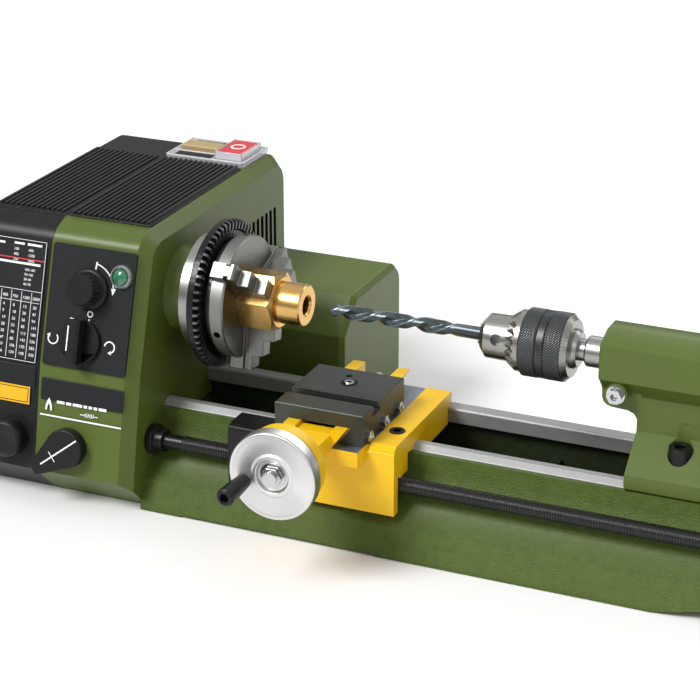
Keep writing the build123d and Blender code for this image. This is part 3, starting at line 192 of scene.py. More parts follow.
def material(name, color, rough, metal=0.0, tone=(60.0, 0.1), roughSwing=0.1, bump=None, coat=0.0,
             coatRough=0.1, spec=0.5, alpha=1.0, spun=None, crest=None):
    # Principled material with a tone group, a roughness that varies with it and an optional bump group
    made = bpy.data.materials.new(name)
    made.use_nodes = True
    tree = made.node_tree
    shader = tree.nodes["Principled BSDF"]
    toneNode = useGroup(tree, "tone", Color=(*color, 1), Scale=tone[0], Amount=tone[1])
    tree.links.new(toneNode.outputs["Color"], shader.inputs["Base Color"])
    if crest:
        wear = addNode(tree, "ShaderNodeAttribute", attribute_name="crest")
        blend = addNode(tree, "ShaderNodeMix", data_type="RGBA")
        blend.inputs[6].default_value = (*color, 1)
        blend.inputs[7].default_value = (*crest, 1)
        tree.links.new(wear.outputs["Fac"], blend.inputs[0])
        tree.links.new(blend.outputs[2], toneNode.inputs["Color"])
    if spun:
        tangent = addNode(tree, "ShaderNodeTangent", direction_type="RADIAL", axis=spun)
        tree.links.new(tangent.outputs["Tangent"], shader.inputs["Tangent"])
        shader.inputs["Anisotropic"].default_value = 0.7
    swing = mathNode(tree, "MULTIPLY", mathNode(tree, "SUBTRACT", toneNode.outputs["Mask"], 0.5), roughSwing)
    tree.links.new(mathNode(tree, "ADD", swing, rough), shader.inputs["Roughness"])
    shader.inputs["Metallic"].default_value = metal
    shader.inputs["Coat Weight"].default_value = coat
    shader.inputs["Coat Roughness"].default_value = coatRough
    shader.inputs["Specular IOR Level"].default_value = spec
    shader.inputs["Alpha"].default_value = alpha
    if bump:
        kind, strength, distance, values = bump
        heights = useGroup(tree, kind, **values)
        bumpNode = addNode(tree, "ShaderNodeBump")
        bumpNode.inputs["Strength"].default_value = strength
        bumpNode.inputs["Distance"].default_value = distance
        tree.links.new(heights.outputs["Height"], bumpNode.inputs["Height"])
        tree.links.new(bumpNode.outputs["Normal"], shader.inputs["Normal"])
    made.diffuse_color = (*color, 1)
    return made


spindleAxis = (0.0, 0.0, 0.1215)
turningX = dict(Centre=spindleAxis, Plane=(0, 1, 1), Along=(1, 0, 0), Lines=2200.0)
wheelCentre = (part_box("cross_wheel")[0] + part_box("cross_wheel")[1]) / 2
turningY = dict(Centre=tuple(wheelCentre), Plane=(1, 0, 1), Along=(0, 1, 0), Lines=1500.0)
paint = {
    "green": material("greenPaint", (0.082, 0.118, 0.020), 0.40, tone=(25.0, 0.06), coat=0.12, coatRough=0.2,
                      spec=0.25, bump=("grain", 0.10, 0.0004, dict(Scale=900.0, Pebble=1.0, Grit=0.3))),
    "greenRough": material("greenCastPaint", (0.062, 0.098, 0.010), 0.48, tone=(200.0, 0.30), coat=0.12,
                           coatRough=0.28, spec=0.3,
                           bump=("grain", 0.6, 0.0006, dict(Scale=1100.0, Pebble=1.0, Grit=0.5))),
    "yellow": material("yellowPaint", (0.80, 0.48, 0.004), 0.36, tone=(35.0, 0.06), coat=0.2, coatRough=0.2,
                       spec=0.3, bump=("grain", 0.06, 0.0004, dict(Scale=700.0, Pebble=1.0, Grit=0.3))),
    "black": material("blackPlastic", (0.006, 0.0065, 0.006), 0.40, tone=(80.0, 0.12), spec=0.3,
                      bump=("grain", 0.12, 0.0002, dict(Scale=1600.0, Pebble=0.6, Grit=1.0))),
    "panel": material("panelPlastic", (0.006, 0.008, 0.009), 0.50, tone=(80.0, 0.12), spec=0.3,
                      bump=("grain", 0.10, 0.0002, dict(Scale=2500.0, Pebble=0.6, Grit=1.0))),
    "steel": material("groundSteel", (0.31, 0.315, 0.31), 0.44, metal=0.45, tone=(60.0, 0.14),
                      bump=("streak", 0.16, 0.0002, dict(Across=(6.0, 1400.0, 1400.0)))),
    "turnedSteel": material("turnedSteel", (0.36, 0.36, 0.34), 0.28, metal=1.0, tone=(60.0, 0.16),
                            bump=("turning", 0.16, 0.0002, turningX)),
    "spunSteel": material("spunSteel", (0.21, 0.215, 0.20), 0.34, metal=1.0, tone=(60.0, 0.16), spun="X",
                          bump=("turning", 0.14, 0.0002, turningX)),
    "jawSteel": material("jawSteel", (0.22, 0.22, 0.205), 0.34, metal=1.0, tone=(140.0, 0.30)),
    "ringSteel": material("blackenedSteel", (0.012, 0.013, 0.015), 0.30, metal=0.5, tone=(90.0, 0.3)),
    "toothSteel": material("toothSteel", (0.16, 0.165, 0.16), 0.34, metal=1.0, tone=(300.0, 0.5)),
    "darkSteel": material("blackSteel", (0.010, 0.010, 0.011), 0.34, metal=0.5, tone=(90.0, 0.25)),
    "threadSteel": material("threadSteel", (0.006, 0.006, 0.006), 0.34, metal=0.7, tone=(200.0, 0.3),
                            crest=(0.045, 0.045, 0.045)),
    "iron": material("machinedIron", (0.052, 0.058, 0.050), 0.40, metal=0.55, tone=(45.0, 0.34),
                     bump=("streak", 0.18, 0.0002, dict(Across=(8.0, 900.0, 900.0)))),
    "brass": material("brass", (0.72, 0.45, 0.15), 0.27, metal=1.0, tone=(70.0, 0.14),
                      bump=("turning", 0.18, 0.0002, turningX)),
    "aluminium": material("turnedAluminium", (0.70, 0.70, 0.69), 0.36, metal=1.0, tone=(60.0, 0.05),
                          bump=("turning", 0.10, 0.0002, turningX)),
    "wheelFace": material("wheelFace", (0.74, 0.74, 0.73), 0.34, metal=1.0, tone=(60.0, 0.05), spun="Y",
                          bump=("turning", 0.12, 0.0002, turningY)),
    "chrome": material("chrome", (0.58, 0.58, 0.59), 0.14, metal=1.0, tone=(60.0, 0.04)),
    "drill": material("bluedSteel", (0.040, 0.056, 0.064), 0.28, metal=0.5, tone=(80.0, 0.2),
                      crest=(0.20, 0.24, 0.25)),
    "red": material("redPlastic", (0.62, 0.02, 0.03), 0.25, coat=0.4, coatRough=0.08, spec=0.3,
                    tone=(60.0, 0.03)),
    "beige": material("beigePlastic", (0.40, 0.30, 0.14), 0.35, coat=0.2, spec=0.3, tone=(60.0, 0.05)),
    "clear": material("clearPlastic", (0.62, 0.62, 0.66), 0.08, alpha=0.55, tone=(60.0, 0.02)),
    "white": material("whitePrint", (0.85, 0.85, 0.85), 0.5, tone=(60.0, 0.03)),
    "redPrint": material("redPrint", (0.75, 0.03, 0.03), 0.5, tone=(60.0, 0.03)),
    "badge": material("badgePrint", (0.80, 0.42, 0.015), 0.45, spec=0.3, tone=(60.0, 0.04)),
    "belt": material("beltRubber", (0.02, 0.02, 0.02), 0.8, tone=(60.0, 0.2)),
    "bronze": material("bronze", (0.60, 0.38, 0.16), 0.35, metal=1.0),
    "greenLens": material("greenLens", (0.02, 0.16, 0.07), 0.08, coat=1.0, coatRough=0.02, tone=(500.0, 0.9)),
    "lampRing": material("lampRing", (0.30, 0.36, 0.34), 0.12, metal=0.6, coat=1.0, coatRough=0.04,
                         tone=(300.0, 0.3)),
    "clearEdge": material("clearEdge", (0.72, 0.72, 0.76), 0.10, alpha=0.85, coat=0.6, tone=(60.0, 0.02)),
    "knurled": material("knurledSteel", (0.006, 0.007, 0.007), 0.36, metal=0.7, tone=(120.0, 0.25),
                        crest=(0.20, 0.215, 0.22)),
    "steelPlain": material("plainSteel", (0.34, 0.33, 0.31), 0.30, metal=1.0, tone=(90.0, 0.2)),
    "machined": material("machinedSteel", (0.24, 0.29, 0.34), 0.40, metal=0.8, tone=(60.0, 0.25),
                         bump=("streak", 0.2, 0.0002, dict(Across=(900.0, 8.0, 900.0)))),
    # dark painted shade for the inside of the bed
    "paintedBedShade": material("paintedBedShade", (0.016, 0.024, 0.008), 0.5, tone=(120.0, 0.5), spec=0.3,
                           bump=("grain", 0.5, 0.0006, dict(Scale=1100.0, Pebble=1.0, Grit=0.5))),
    # near-black painted shade for the inside of the headstock, its slots, the counterbore and the screw socket
    "paintedHoleShade": material("paintedHoleShade", (0.004, 0.004, 0.004), 0.6, spec=0.2, tone=(60.0, 0.1)),
    "motor": material("motorPaint", (0.2, 0.2, 0.21), 0.4),
}
print("materials made")

slotPaint = {"green": "green", "green_rough": "greenRough", "black": "black", "panel": "panel",
             "label": "panel", "chart": "panel", "clear": "clear", "red": "red", "beige": "beige",
             "lamp": "chrome",
             "steel": "steel", "steel_dark": "darkSteel", "ring": "ringSteel", "brass": "brass",
             "yellow": "yellow", "aluminium": "aluminium", "iron": "iron", "belt": "belt", "bronze": "bronze",
             "drill": "drill", "chrome": "chrome", "motor": "motor"}
nodePaint = {"chuck_body": "spunSteel", "chuck_flange": "turnedSteel", "spindle": "turnedSteel",
             "quill": "turnedSteel", "chuck_jaw_1": "jawSteel", "chuck_jaw_2": "jawSteel",
             "chuck_jaw_3": "jawSteel",
             "drill_chuck": "turnedSteel", "cross_wheel": "wheelFace"}
for part in frame["record"]["subparts"]:
    obj = nodes[part["node"]]
    obj.data.materials.clear()
    obj.data.materials.append(paint[nodePaint.get(part["node"], slotPaint[part["material_slot"]])])


def soften(name, width=0.4, segments=2, angle=28.0, weld=0.004):
    # Rounds the CAD part's edges with modifiers; its own vertices stay as they are
    obj = nodes[name]
    mesh = obj.data
    if "custom_normal" in mesh.attributes:
        mesh.attributes.remove(mesh.attributes["custom_normal"])
    mesh.shade_smooth()
    join = obj.modifiers.new("join", "WELD")
    join.merge_threshold = weld * mm
    flatten = obj.modifiers.new("flatten", "DECIMATE")
    flatten.decimate_type = "DISSOLVE"
    flatten.angle_limit = math.radians(0.8)
    if width > 0:
        bevel = obj.modifiers.new("bevel", "BEVEL")
        bevel.width = width * mm
        bevel.segments = segments
        bevel.limit_method = "ANGLE"
        bevel.angle_limit = math.radians(angle)
        bevel.use_clamp_overlap = True
        bevel.harden_normals = True
    even = obj.modifiers.new("even", "WEIGHTED_NORMAL")
    even.keep_sharp = True
    return obj


for name in nodes:
    soften(name)
print("edges softened")


# Meshes are built in a local frame, with sizes in millimetres

joints = {j["name"]: j for j in frame["joints"]}


def frameAt(origin, normal, along):
    # Origin in metres, then the local x, y and z directions
    n = Vector(normal).normalized()
    u = Vector(along).normalized()
    return Vector(origin), u, n.cross(u), n


def jointFrame(name):
    return frameAt(joints[name]["pos_m"], joints[name]["axis"], (1, 0, 0))


def shifted(place, x=0.0, y=0.0, z=0.0):
    origin, u, v, n = place
    return origin + (u * x + v * y + n * z) * mm, u, v, n


def spot(place, x, y, z):
    origin, u, v, n = place
    return origin + (u * x + v * y + n * z) * mm


def addPrism(bm, place, outline, z0, z1):
    low = [bm.verts.new(spot(place, x, y, z0)) for x, y in outline]
    high = [bm.verts.new(spot(place, x, y, z1)) for x, y in outline]
    bm.faces.new(high)
    bm.faces.new(list(reversed(low)))
    count = len(outline)
    for i in range(count):
        j = (i + 1) % count
        bm.faces.new((low[i], low[j], high[j], high[i]))


def addBox(bm, place, x0, x1, y0, y1, z0, z1):
    addPrism(bm, place, [(x0, y0), (x1, y0), (x1, y1), (x0, y1)], z0, z1)


def circlePoints(cx, cy, r, count=40, a0=0.0, a1=360.0):
    closed = abs(a1 - a0 - 360.0) < 0.001
    steps = count if closed else count - 1
    return [(cx + r * math.cos(math.radians(a0 + (a1 - a0) * i / steps)),
             cy + r * math.sin(math.radians(a0 + (a1 - a0) * i / steps))) for i in range(count)]


def addRing(bm, place, cx, cy, outer, inner, z0, z1, a0=0.0, a1=360.0, count=40):
    # Flat ring or part of a ring, square in section
    big = circlePoints(cx, cy, outer, count, a0, a1)
    small = circlePoints(cx, cy, inner, count, a0, a1)
    if abs(a1 - a0 - 360.0) > 0.001:
        addPrism(bm, place, big + small[::-1], z0, z1)
        return
    rows = [[bm.verts.new(spot(place, x, y, z)) for x, y in points]
            for points, z in ((big, z0), (big, z1), (small, z1), (small, z0))]
    joinRows(bm, rows, True, True)


def joinRows(bm, rows, around=True, closeRows=False):
    # Quads between neighbouring rows of points
    last = len(rows) if closeRows else len(rows) - 1
    for k in range(last):
        one, two = rows[k], rows[(k + 1) % len(rows)]
        count = len(one) if around else len(one) - 1
        for i in range(count):
            j = (i + 1) % len(one)
            bm.faces.new((one[i], one[j], two[j], two[i]))


def addTurned(bm, place, profile, count=64):
    # Solid turned about the local z axis from (radius, z) points
    rows = []
    for r, z in profile:
        rows.append([bm.verts.new(spot(place, x, y, z)) for x, y in circlePoints(0, 0, max(r, 0.001), count)])
    joinRows(bm, rows)
    bm.faces.new(rows[0])
    bm.faces.new(rows[-1])


def addText(bm, place, words, x, y, size, z0, z1):
    # Raised characters with their lower left corner at x, y
    curve = bpy.data.curves.new("words", "FONT")
    curve.body = words
    curve.size = size
    curve.extrude = (z1 - z0) / 2
    holder = bpy.data.objects.new("words", curve)
    scene.collection.objects.link(holder)
    bpy.context.view_layer.update()
    mesh = holder.evaluated_get(bpy.context.evaluated_depsgraph_get()).to_mesh()
    middle = (z0 + z1) / 2
    points = [bm.verts.new(spot(place, x + v.co.x, y + v.co.y, middle + v.co.z)) for v in mesh.vertices]
    for face in mesh.polygons:
        corners = [points[i] for i in face.vertices]
        if len(set(corners)) > 2:
            bm.faces.new(corners)
    bpy.data.objects.remove(holder)
    bpy.data.curves.remove(curve)


def crestMesh():
    # mesh whose vertices carry how worn and bright they are, 0 to 1
    bm = bmesh.new()
    bm.verts.layers.float.new("crest")
    return bm


def crestPoint(bm, point, crest):
    vert = bm.verts.new(point)
    vert[bm.verts.layers.float["crest"]] = crest
    return vert


def finishMesh(name, bm, look, body, replaced=(), bevel=None, smooth=35.0):
    # Makes the object, lets it ride on a body and stand for the CAD nodes it replaces
    bmesh.ops.recalc_face_normals(bm, faces=bm.faces)
    mesh = bpy.data.meshes.new(name)
    bm.to_mesh(mesh)
    bm.free()
    obj = bpy.data.objects.new(name, mesh)
    scene.collection.objects.link(obj)
    mesh.materials.append(paint[look])
    if bevel:
        rounder = obj.modifiers.new("bevel", "BEVEL")
        rounder.width = bevel * mm
        rounder.segments = 2
        rounder.limit_method = "ANGLE"
        rounder.angle_limit = math.radians(30)
    mesh.shade_smooth()
    mesh.set_sharp_from_angle(angle=math.radians(smooth))
    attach(obj, body)
    if replaced:
        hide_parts(*replaced)
    return obj


printHigh = 0.12  # thickness of the printing, in millimetres
printStep = 1.0  # from the lever's joint origin up to the face of the label

def panelPrint():
    speed = jointFrame("speed_knob_turn")
    turn = jointFrame("direction_switch_turn")
    sweep = {"outer": 16.2, "inner": 15.5, "from": 8, "to": 76}  # the arc beside the speed knob
    arrow = {"left": -18.6, "right": 19.6, "y": -1.0, "outer": 3.7, "inner": 2.9, "run": 255,
             "leftStart": 150, "rightStart": -80, "tipReach": 3.3, "tip": 1.5}
    zero = {"x": 4.6, "y": 16.6, "outer": 2.0, "inner": 1.25}
    bm = bmesh.new()
    addRing(bm, speed, 0, 0, sweep["outer"], sweep["inner"], 0, printHigh, sweep["from"], sweep["to"], 26)
    addPrism(bm, speed, [(17.4, 2.6), (14.2, 2.4), (15.5, -1.6)], 0, printHigh)
    addPrism(bm, speed, [(2.2, 12.3), (3.2, 12.1), (3.8, 16.6), (2.8, 16.8)], 0, printHigh)
    addRing(bm, turn, zero["x"], zero["y"], zero["outer"], zero["inner"], 0, printHigh, 0, 360, 20)
    addPrism(bm, turn, [(3.5, 10.9), (4.3, 10.6), (4.8, 13.6), (4.0, 13.8)], 0, printHigh)
    addPrism(bm, turn, [(-8.6, 13.0), (-8.3, 12.3), (4.2, 10.4), (4.1, 11.3)], 0, printHigh)
    sides = ((arrow["left"], arrow["leftStart"]), (arrow["right"], arrow["rightStart"]))
    for x, start in sides:
        addRing(bm, turn, x, arrow["y"], arrow["outer"], arrow["inner"], 0, printHigh,
                start, start + arrow["run"], 30)
    for x, start in sides:
        tipX = x + arrow["tipReach"] * math.cos(math.radians(start))
        tipY = arrow["y"] + arrow["tipReach"] * math.sin(math.radians(start))
        addPrism(bm, turn, circlePoints(tipX, tipY, arrow["tip"], 3, start + 30, start + 270), 0, printHigh)
    return finishMesh("panelPrint", bm, "white", "base")


def switchLine():
    # White pointer line on the grip of the direction switch
    place = jointFrame("direction_switch_turn")
    line = {"left": -3.0, "right": -2.2, "low": -5.5, "high": 9.6, "top": 11.75}
    bm = bmesh.new()
    addBox(bm, place, line["left"], line["right"], line["low"], line["high"],
           line["top"], line["top"] + printHigh)
    return finishMesh("switchLine", bm, "white", "direction_switch")


def speedKnob():
    # Milled side, grained cap and skirt of the speed knob
    place = jointFrame("speed_knob_turn")
    knob = {"grooves": 24, "points": 144, "skirtPoints": 72}
    side = ((10.7, 3.2, 0.0), (10.5, 4.2, 0.0), (10.3, 4.6, 0.45), (9.3, 11.2, 0.45),
            (9.0, 12.1, 0.15), (8.5, 12.6, 0.0), (0.01, 12.75, 0.0))  # radius, height, groove depth
    skirt = [(12.6, 0.2), (12.6, 1.6), (12.0, 2.6), (10.6, 3.3), (0.01, 3.3)]
    bm = bmesh.new()
    rows = []
    for radius, z, depth in side:
        ring = []
        for i in range(knob["points"]):
            angle = 2 * math.pi * i / knob["points"]
            r = radius - depth * (0.5 - 0.5 * math.cos(angle * knob["grooves"]))
            ring.append(bm.verts.new(spot(place, r * math.cos(angle), r * math.sin(angle), z)))
        rows.append(ring)
    joinRows(bm, rows)
    bm.faces.new(rows[0])
    addTurned(bm, place, skirt, knob["skirtPoints"])
    return finishMesh("speedKnob", bm, "black", "speed_knob", ("speed_knob",))


def coverKnob():
    place = jointFrame("cover_knob_turn")
    profile = [(11.6, 0.2), (11.6, 5.0), (11.2, 8.4), (10.2, 9.6), (9.4, 10.0), (8.6, 9.7), (0.01, 9.4)]
    bm = bmesh.new()
    addTurned(bm, place, profile, 72)
    return finishMesh("coverKnob", bm, "black", "cover_knob", ("cover_knob",))


def shiftLever():
    # Round lever with a square pointer and its white line
    lever = {"radius": 12.0, "reach": 26.0, "half": 3.9, "bottom": 0.2, "top": 8.0, "lean": 218.0,
             "round": 0.8}
    line = {"back": -11.0, "front": 18.5, "half": 0.45, "crossAt": 9.0, "crossWide": 0.5, "crossHalf": 3.6}
    origin, u, v, n = jointFrame("shift_lever_turn")
    lean = math.radians(lever["lean"])
    turned = (origin, u * math.cos(lean) + v * math.sin(lean), v * math.cos(lean) - u * math.sin(lean), n)
    bm = bmesh.new()
    tip = [(lever["reach"], -lever["half"]), (lever["reach"], lever["half"])]
    outline = tip + circlePoints(0, 0, lever["radius"], 44, 62, 298)
    addPrism(bm, turned, outline, lever["bottom"], lever["top"])
    body = finishMesh("shiftLever", bm, "black", "shift_lever", ("shift_lever",),
                      bevel=lever["round"])
    bm = bmesh.new()
    top = lever["top"]
    addBox(bm, turned, line["back"], line["front"], -line["half"], line["half"], top, top + printHigh)
    addBox(bm, turned, line["crossAt"], line["crossAt"] + line["crossWide"], -line["crossHalf"],
           line["crossHalf"], top, top + printHigh - 0.02)
    finishMesh("shiftLine", bm, "white", "shift_lever")
    return body


def labelPrint():
    # Plain bars in place of words, a hand, a spring mark and the line under them
    place = shifted(jointFrame("shift_lever_turn"), 0, 0, printStep)
    label = {"edge": 0.4, "lineLow": 16.9, "lineHigh": 17.9, "wordsFrom": -9.5, "wordsTo": 24.0,
             "wordsLow": 25.6, "wordsHigh": 27.3, "wordGap": 1.0}
    spring = {"turns": 6, "from": 9.5, "pitch": 1.1, "low": 20.2, "high": 22.6, "leadLow": 21.1,
              "leadHigh": 21.6}
    hand = [(-17.2, 20.6), (-16.2, 20.6), (-15.7, 23.2), (-14.9, 25.0), (-14.1, 23.2), (-13.6, 20.6),
            (-12.6, 20.6), (-12.9, 24.0), (-13.9, 26.6), (-14.9, 28.2), (-15.9, 26.6), (-16.9, 24.0)]
    bm = bmesh.new()
    lowBox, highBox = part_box("shift_label")
    originX = joints["shift_lever_turn"]["pos_m"][0]
    x0 = (lowBox.x - originX) / mm + label["edge"]
    x1 = (highBox.x - originX) / mm - label["edge"]
    addBox(bm, place, x0, x1, label["lineLow"], label["lineHigh"], 0, printHigh)
    addPrism(bm, place, hand, 0, printHigh)
    random.seed(7)
    x = label["wordsFrom"]
    while x < label["wordsTo"]:
        width = random.choice((2.4, 3.6, 5.2, 6.4))
        width = min(width, label["wordsTo"] + 1.0 - x)
        addBox(bm, place, x, x + width, label["wordsLow"], label["wordsHigh"], 0, printHigh)
        x += width + label["wordGap"]
    for i in range(spring["turns"]):
        at = spring["from"] + spring["pitch"] * i
        addPrism(bm, place, [(at, spring["low"]), (at + 0.45, spring["low"]), (at + 0.95, spring["high"]),
                             (at + 0.5, spring["high"])], 0, printHigh)
    for a, b in ((6.6, 9.6), (15.6, 18.6)):
        addBox(bm, place, a, b, spring["leadLow"], spring["leadHigh"], 0, printHigh)
    return finishMesh("labelPrint", bm, "white", "base")


def addFrame(bm, place, x0, x1, y0, y1, line, z0, z1):
    # Four thin bars just inside a rectangle
    for a, b, c, d in ((x0, x1, y0, y0 + line), (x0, x1, y1 - line, y1),
                       (x0, x0 + line, y0, y1), (x1 - line, x1, y0, y1)):
        addBox(bm, place, a, b, c, d, z0, z1)


def spanOnCover(jointName, left, right):
    # Left and right edge of the chart plates seen from a joint's origin
    originX = joints[jointName]["pos_m"][0]
    low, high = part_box("chart_plates")
    return (low.x - originX) / mm + left, (high.x - originX) / mm - right


def chartPrint():
    # Lines and figures of the speed chart on the gear cover
    place = shifted(jointFrame("direction_switch_turn"), 0, 0, -0.8)
    chart = {"edge": 0.8, "top": 54.5, "bottom": -18.0, "line": 0.28, "headLine": 24.2, "tableLine": 17.4,
             "pitch": 6.9, "firstColumn": 7.0, "rowPitch": 4.05, "figure": 2.5, "smallFigure": 2.3}
    heads = (2000, 1200, 750, 400, 200, 100)
    feeds = (20, 47, 94, 141, 188, 236, 283, 330)
    x0, x1 = spanOnCover("direction_switch_turn", chart["edge"], chart["edge"])
    line = chart["line"]
    bm = bmesh.new()
    addFrame(bm, place, x0, x1, chart["bottom"], chart["top"], line, 0, printHigh)
    addBox(bm, place, x0, x1, chart["headLine"], chart["headLine"] + line, 0, printHigh)
    addBox(bm, place, x0 + 2, x1 - 1.2, chart["tableLine"], chart["tableLine"] + line, 0, printHigh)
    columns = [x1 - chart["firstColumn"] - chart["pitch"] * i for i in range(len(heads))]
    for x in columns[:-1]:
        addBox(bm, place, x, x + line, chart["bottom"] + 1.2, chart["headLine"] - 0.8, 0, printHigh)
    for x, head in zip(columns, heads):
        addText(bm, place, str(head), x + 0.9, 19.2, chart["figure"], 0, printHigh)
        for row, feed in enumerate(feeds):
            words = str(max(1, round(feed * head / heads[0])))
            addText(bm, place, words, x + 1.8, 13.8 - chart["rowPitch"] * row, chart["figure"], 0, printHigh)
    for row, (a, b) in enumerate((("100", "400"), ("400", "1200"), ("750", "2000"))):
        y = 47.6 - 3.1 * row
        addText(bm, place, a, x1 - 22.0, y, chart["smallFigure"], 0, printHigh)
        addText(bm, place, b, x1 - 12.0, y, chart["smallFigure"], 0, printHigh)
    for row, span in enumerate(("100-180", "70-100", "30-40", "40-70")):
        y = 36.0 - 2.9 * row
        addText(bm, place, span, x1 - 13.5, y, 2.2, 0, printHigh)
        addBox(bm, place, x0 + 3, x0 + 13 - 2 * (row % 2), y + 0.2, y + 1.4, 0, printHigh)
    for a, b, y in ((x0 + 3, x0 + 17, 50.6), (x1 - 22, x1 - 15, 51.2), (x1 - 13, x1 - 3, 51.2),
                    (x0 + 3, x1 - 3, 39.6)):
        addBox(bm, place, a, b, y, y + 1.3, 0, printHigh)
    finishMesh("chartPrint", bm, "white", "gear_cover")
    bm = bmesh.new()
    addBox(bm, place, x0 + 0.5, x1 - 0.5, 42.6, 43.2, 0, printHigh)
    finishMesh("chartRedLine", bm, "redPrint", "gear_cover")


def badge():
    # Plain yellow plate with a thin frame
    place = shifted(jointFrame("cover_knob_turn"), 0, 0, 0.8)
    plate = {"low": 21.6, "high": 32.4, "thick": 0.2, "inset": 1.0, "line": 0.4, "lineHigh": 0.3}
    x0, x1 = spanOnCover("cover_knob_turn", 2.0, 3.2)
    bm = bmesh.new()
    addBox(bm, place, x0, x1, plate["low"], plate["high"], 0, plate["thick"])
    finishMesh("badgePlate", bm, "badge", "gear_cover")
    bm = bmesh.new()
    inset = plate["inset"]
    addFrame(bm, place, x0 + inset, x1 - inset, plate["low"] + inset, plate["high"] - inset, plate["line"],
             plate["thick"], plate["lineHigh"])
    finishMesh("badgeFrame", bm, "panel", "gear_cover")


def lamp():
    # Bright ring with a faceted green lens
    low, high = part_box("indicator_lamp")
    origin, u, v, n = jointFrame("speed_knob_turn")
    away = (low + high) / 2 - origin
    place = shifted((origin, u, v, n), away.dot(u) / mm, away.dot(v) / mm - 0.2, 0)
    ring = [(7.2, 0.0), (7.2, 0.9), (6.8, 2.2), (6.1, 3.0), (5.5, 3.0), (5.2, 1.2), (0.01, 1.2)]
    lens = ((5.0, 1.3), (4.6, 2.6), (3.2, 3.5), (1.6, 4.0), (0.01, 4.1))
    facet = {"count": 16, "turn": 11}
    bm = bmesh.new()
    addTurned(bm, place, ring, 56)
    finishMesh("lampRing", bm, "lampRing", "base", ("indicator_lamp",))
    bm = bmesh.new()
    rows = []
    for k, (r, z) in enumerate(lens):
        turned = facet["turn"] * k
        rows.append([bm.verts.new(spot(place, x, y, z)) for x, y in
                     circlePoints(0, 0, r, facet["count"], turned, 360 + turned)])
    joinRows(bm, rows)
    finishMesh("lampLens", bm, "greenLens", "base", smooth=5.0)


panelPrint()
switchLine()
speedKnob()
coverKnob()
shiftLever()
labelPrint()
chartPrint()
badge()
lamp()
print("controls made")


def switchBlock():
    # Windows, frame and guard of the switch on top, and the mark on the stop key
    place = frameAt((0, 0, 0), (0, 0, 1), (1, 0, 0))
    (x0, y0, _), (x1, y1, z1) = (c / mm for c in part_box("switch_plate"))
    (rx0, ry0, _), (rx1, ry1, rz) = (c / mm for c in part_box("off_button"))
    (kx0, ky0, _), (kx1, ky1, _) = (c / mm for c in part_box("on_button"))
    window = {"side": 0.4, "end": 3.4, "deep": 0.7, "proud": 0.15}
    rim = {"wide": 0.8, "side": 0.4, "end": 0.3, "split": 2.6, "keyGap": 2.0, "half": 0.5, "round": 0.2}
    guard = {"grow": 1.0, "wall": 0.5, "proud": 0.2, "round": 0.15}
    bm = bmesh.new()
    for a, b in ((y0 + window["end"], ky0 - window["end"]), (ky1 + window["end"], y1 - window["end"])):
        addBox(bm, place, kx0 + window["side"], kx1 - window["side"], a, b,
               z1 - window["deep"], z1 + window["proud"])
    finishMesh("switchBars", bm, "panel", "base")
    bm = bmesh.new()
    left, right = x0 + rim["side"], x1 - rim["side"]
    near, far = y0 + rim["end"], y1 - rim["end"]
    split = rx0 - rim["split"]
    for a, b, c, d in ((left, right, near, near + rim["wide"]), (left, right, far - rim["wide"], far),
                       (left, left + rim["wide"], near, far), (right - rim["wide"], right, near, far),
                       (split, split + rim["wide"], near, far),
                       (left, split, ky0 - rim["keyGap"], ky0 - rim["keyGap"] + rim["wide"]),
                       (left, split, ky1 + rim["keyGap"] - rim["wide"], ky1 + rim["keyGap"])):
        addBox(bm, place, a, b, c, d, z1 - rim["half"], z1 + rim["half"])
    finishMesh("switchFrame", bm, "clearEdge", "base", bevel=rim["round"])
    bm = bmesh.new()
    addRing(bm, place, (rx0 + rx1) / 2, (ry0 + ry1) / 2, 5.0, 3.6, rz, rz + 0.15, 0, 360, 40)
    finishMesh("stopMark", bm, "white", "off_button")
    bm = bmesh.new()
    grow = guard["grow"]
    addFrame(bm, place, rx0 - grow, rx1 + grow, ry0 - grow, ry1 + grow, guard["wall"],
             z1, rz + guard["proud"])
    finishMesh("stopGuard", bm, "clearEdge", "base", bevel=guard["round"])


switchBlock()
print("switch block made")


spindleFrame = frameAt((0, 0, joints["spindle_spin"]["pos_m"][2]), (1, 0, 0), (0, 1, 0))


def addLoop(bm, rings):
    # Closes rings of points all the way round, and gives back the faces with their ring and place
    made = []
    for k in range(len(rings)):
        one, two = rings[k], rings[(k + 1) % len(rings)]
        for i in range(len(one)):
            j = (i + 1) % len(one)
            made.append((k, i, bm.faces.new((one[i], one[j], two[j], two[i]))))
    return made


def spinPoints(bm, shape, angle):
    # The points of a (radius, x) outline at one angle round the spindle
    return [bm.verts.new(spot(spindleFrame, r * math.cos(angle), r * math.sin(angle), x)) for r, x in shape]


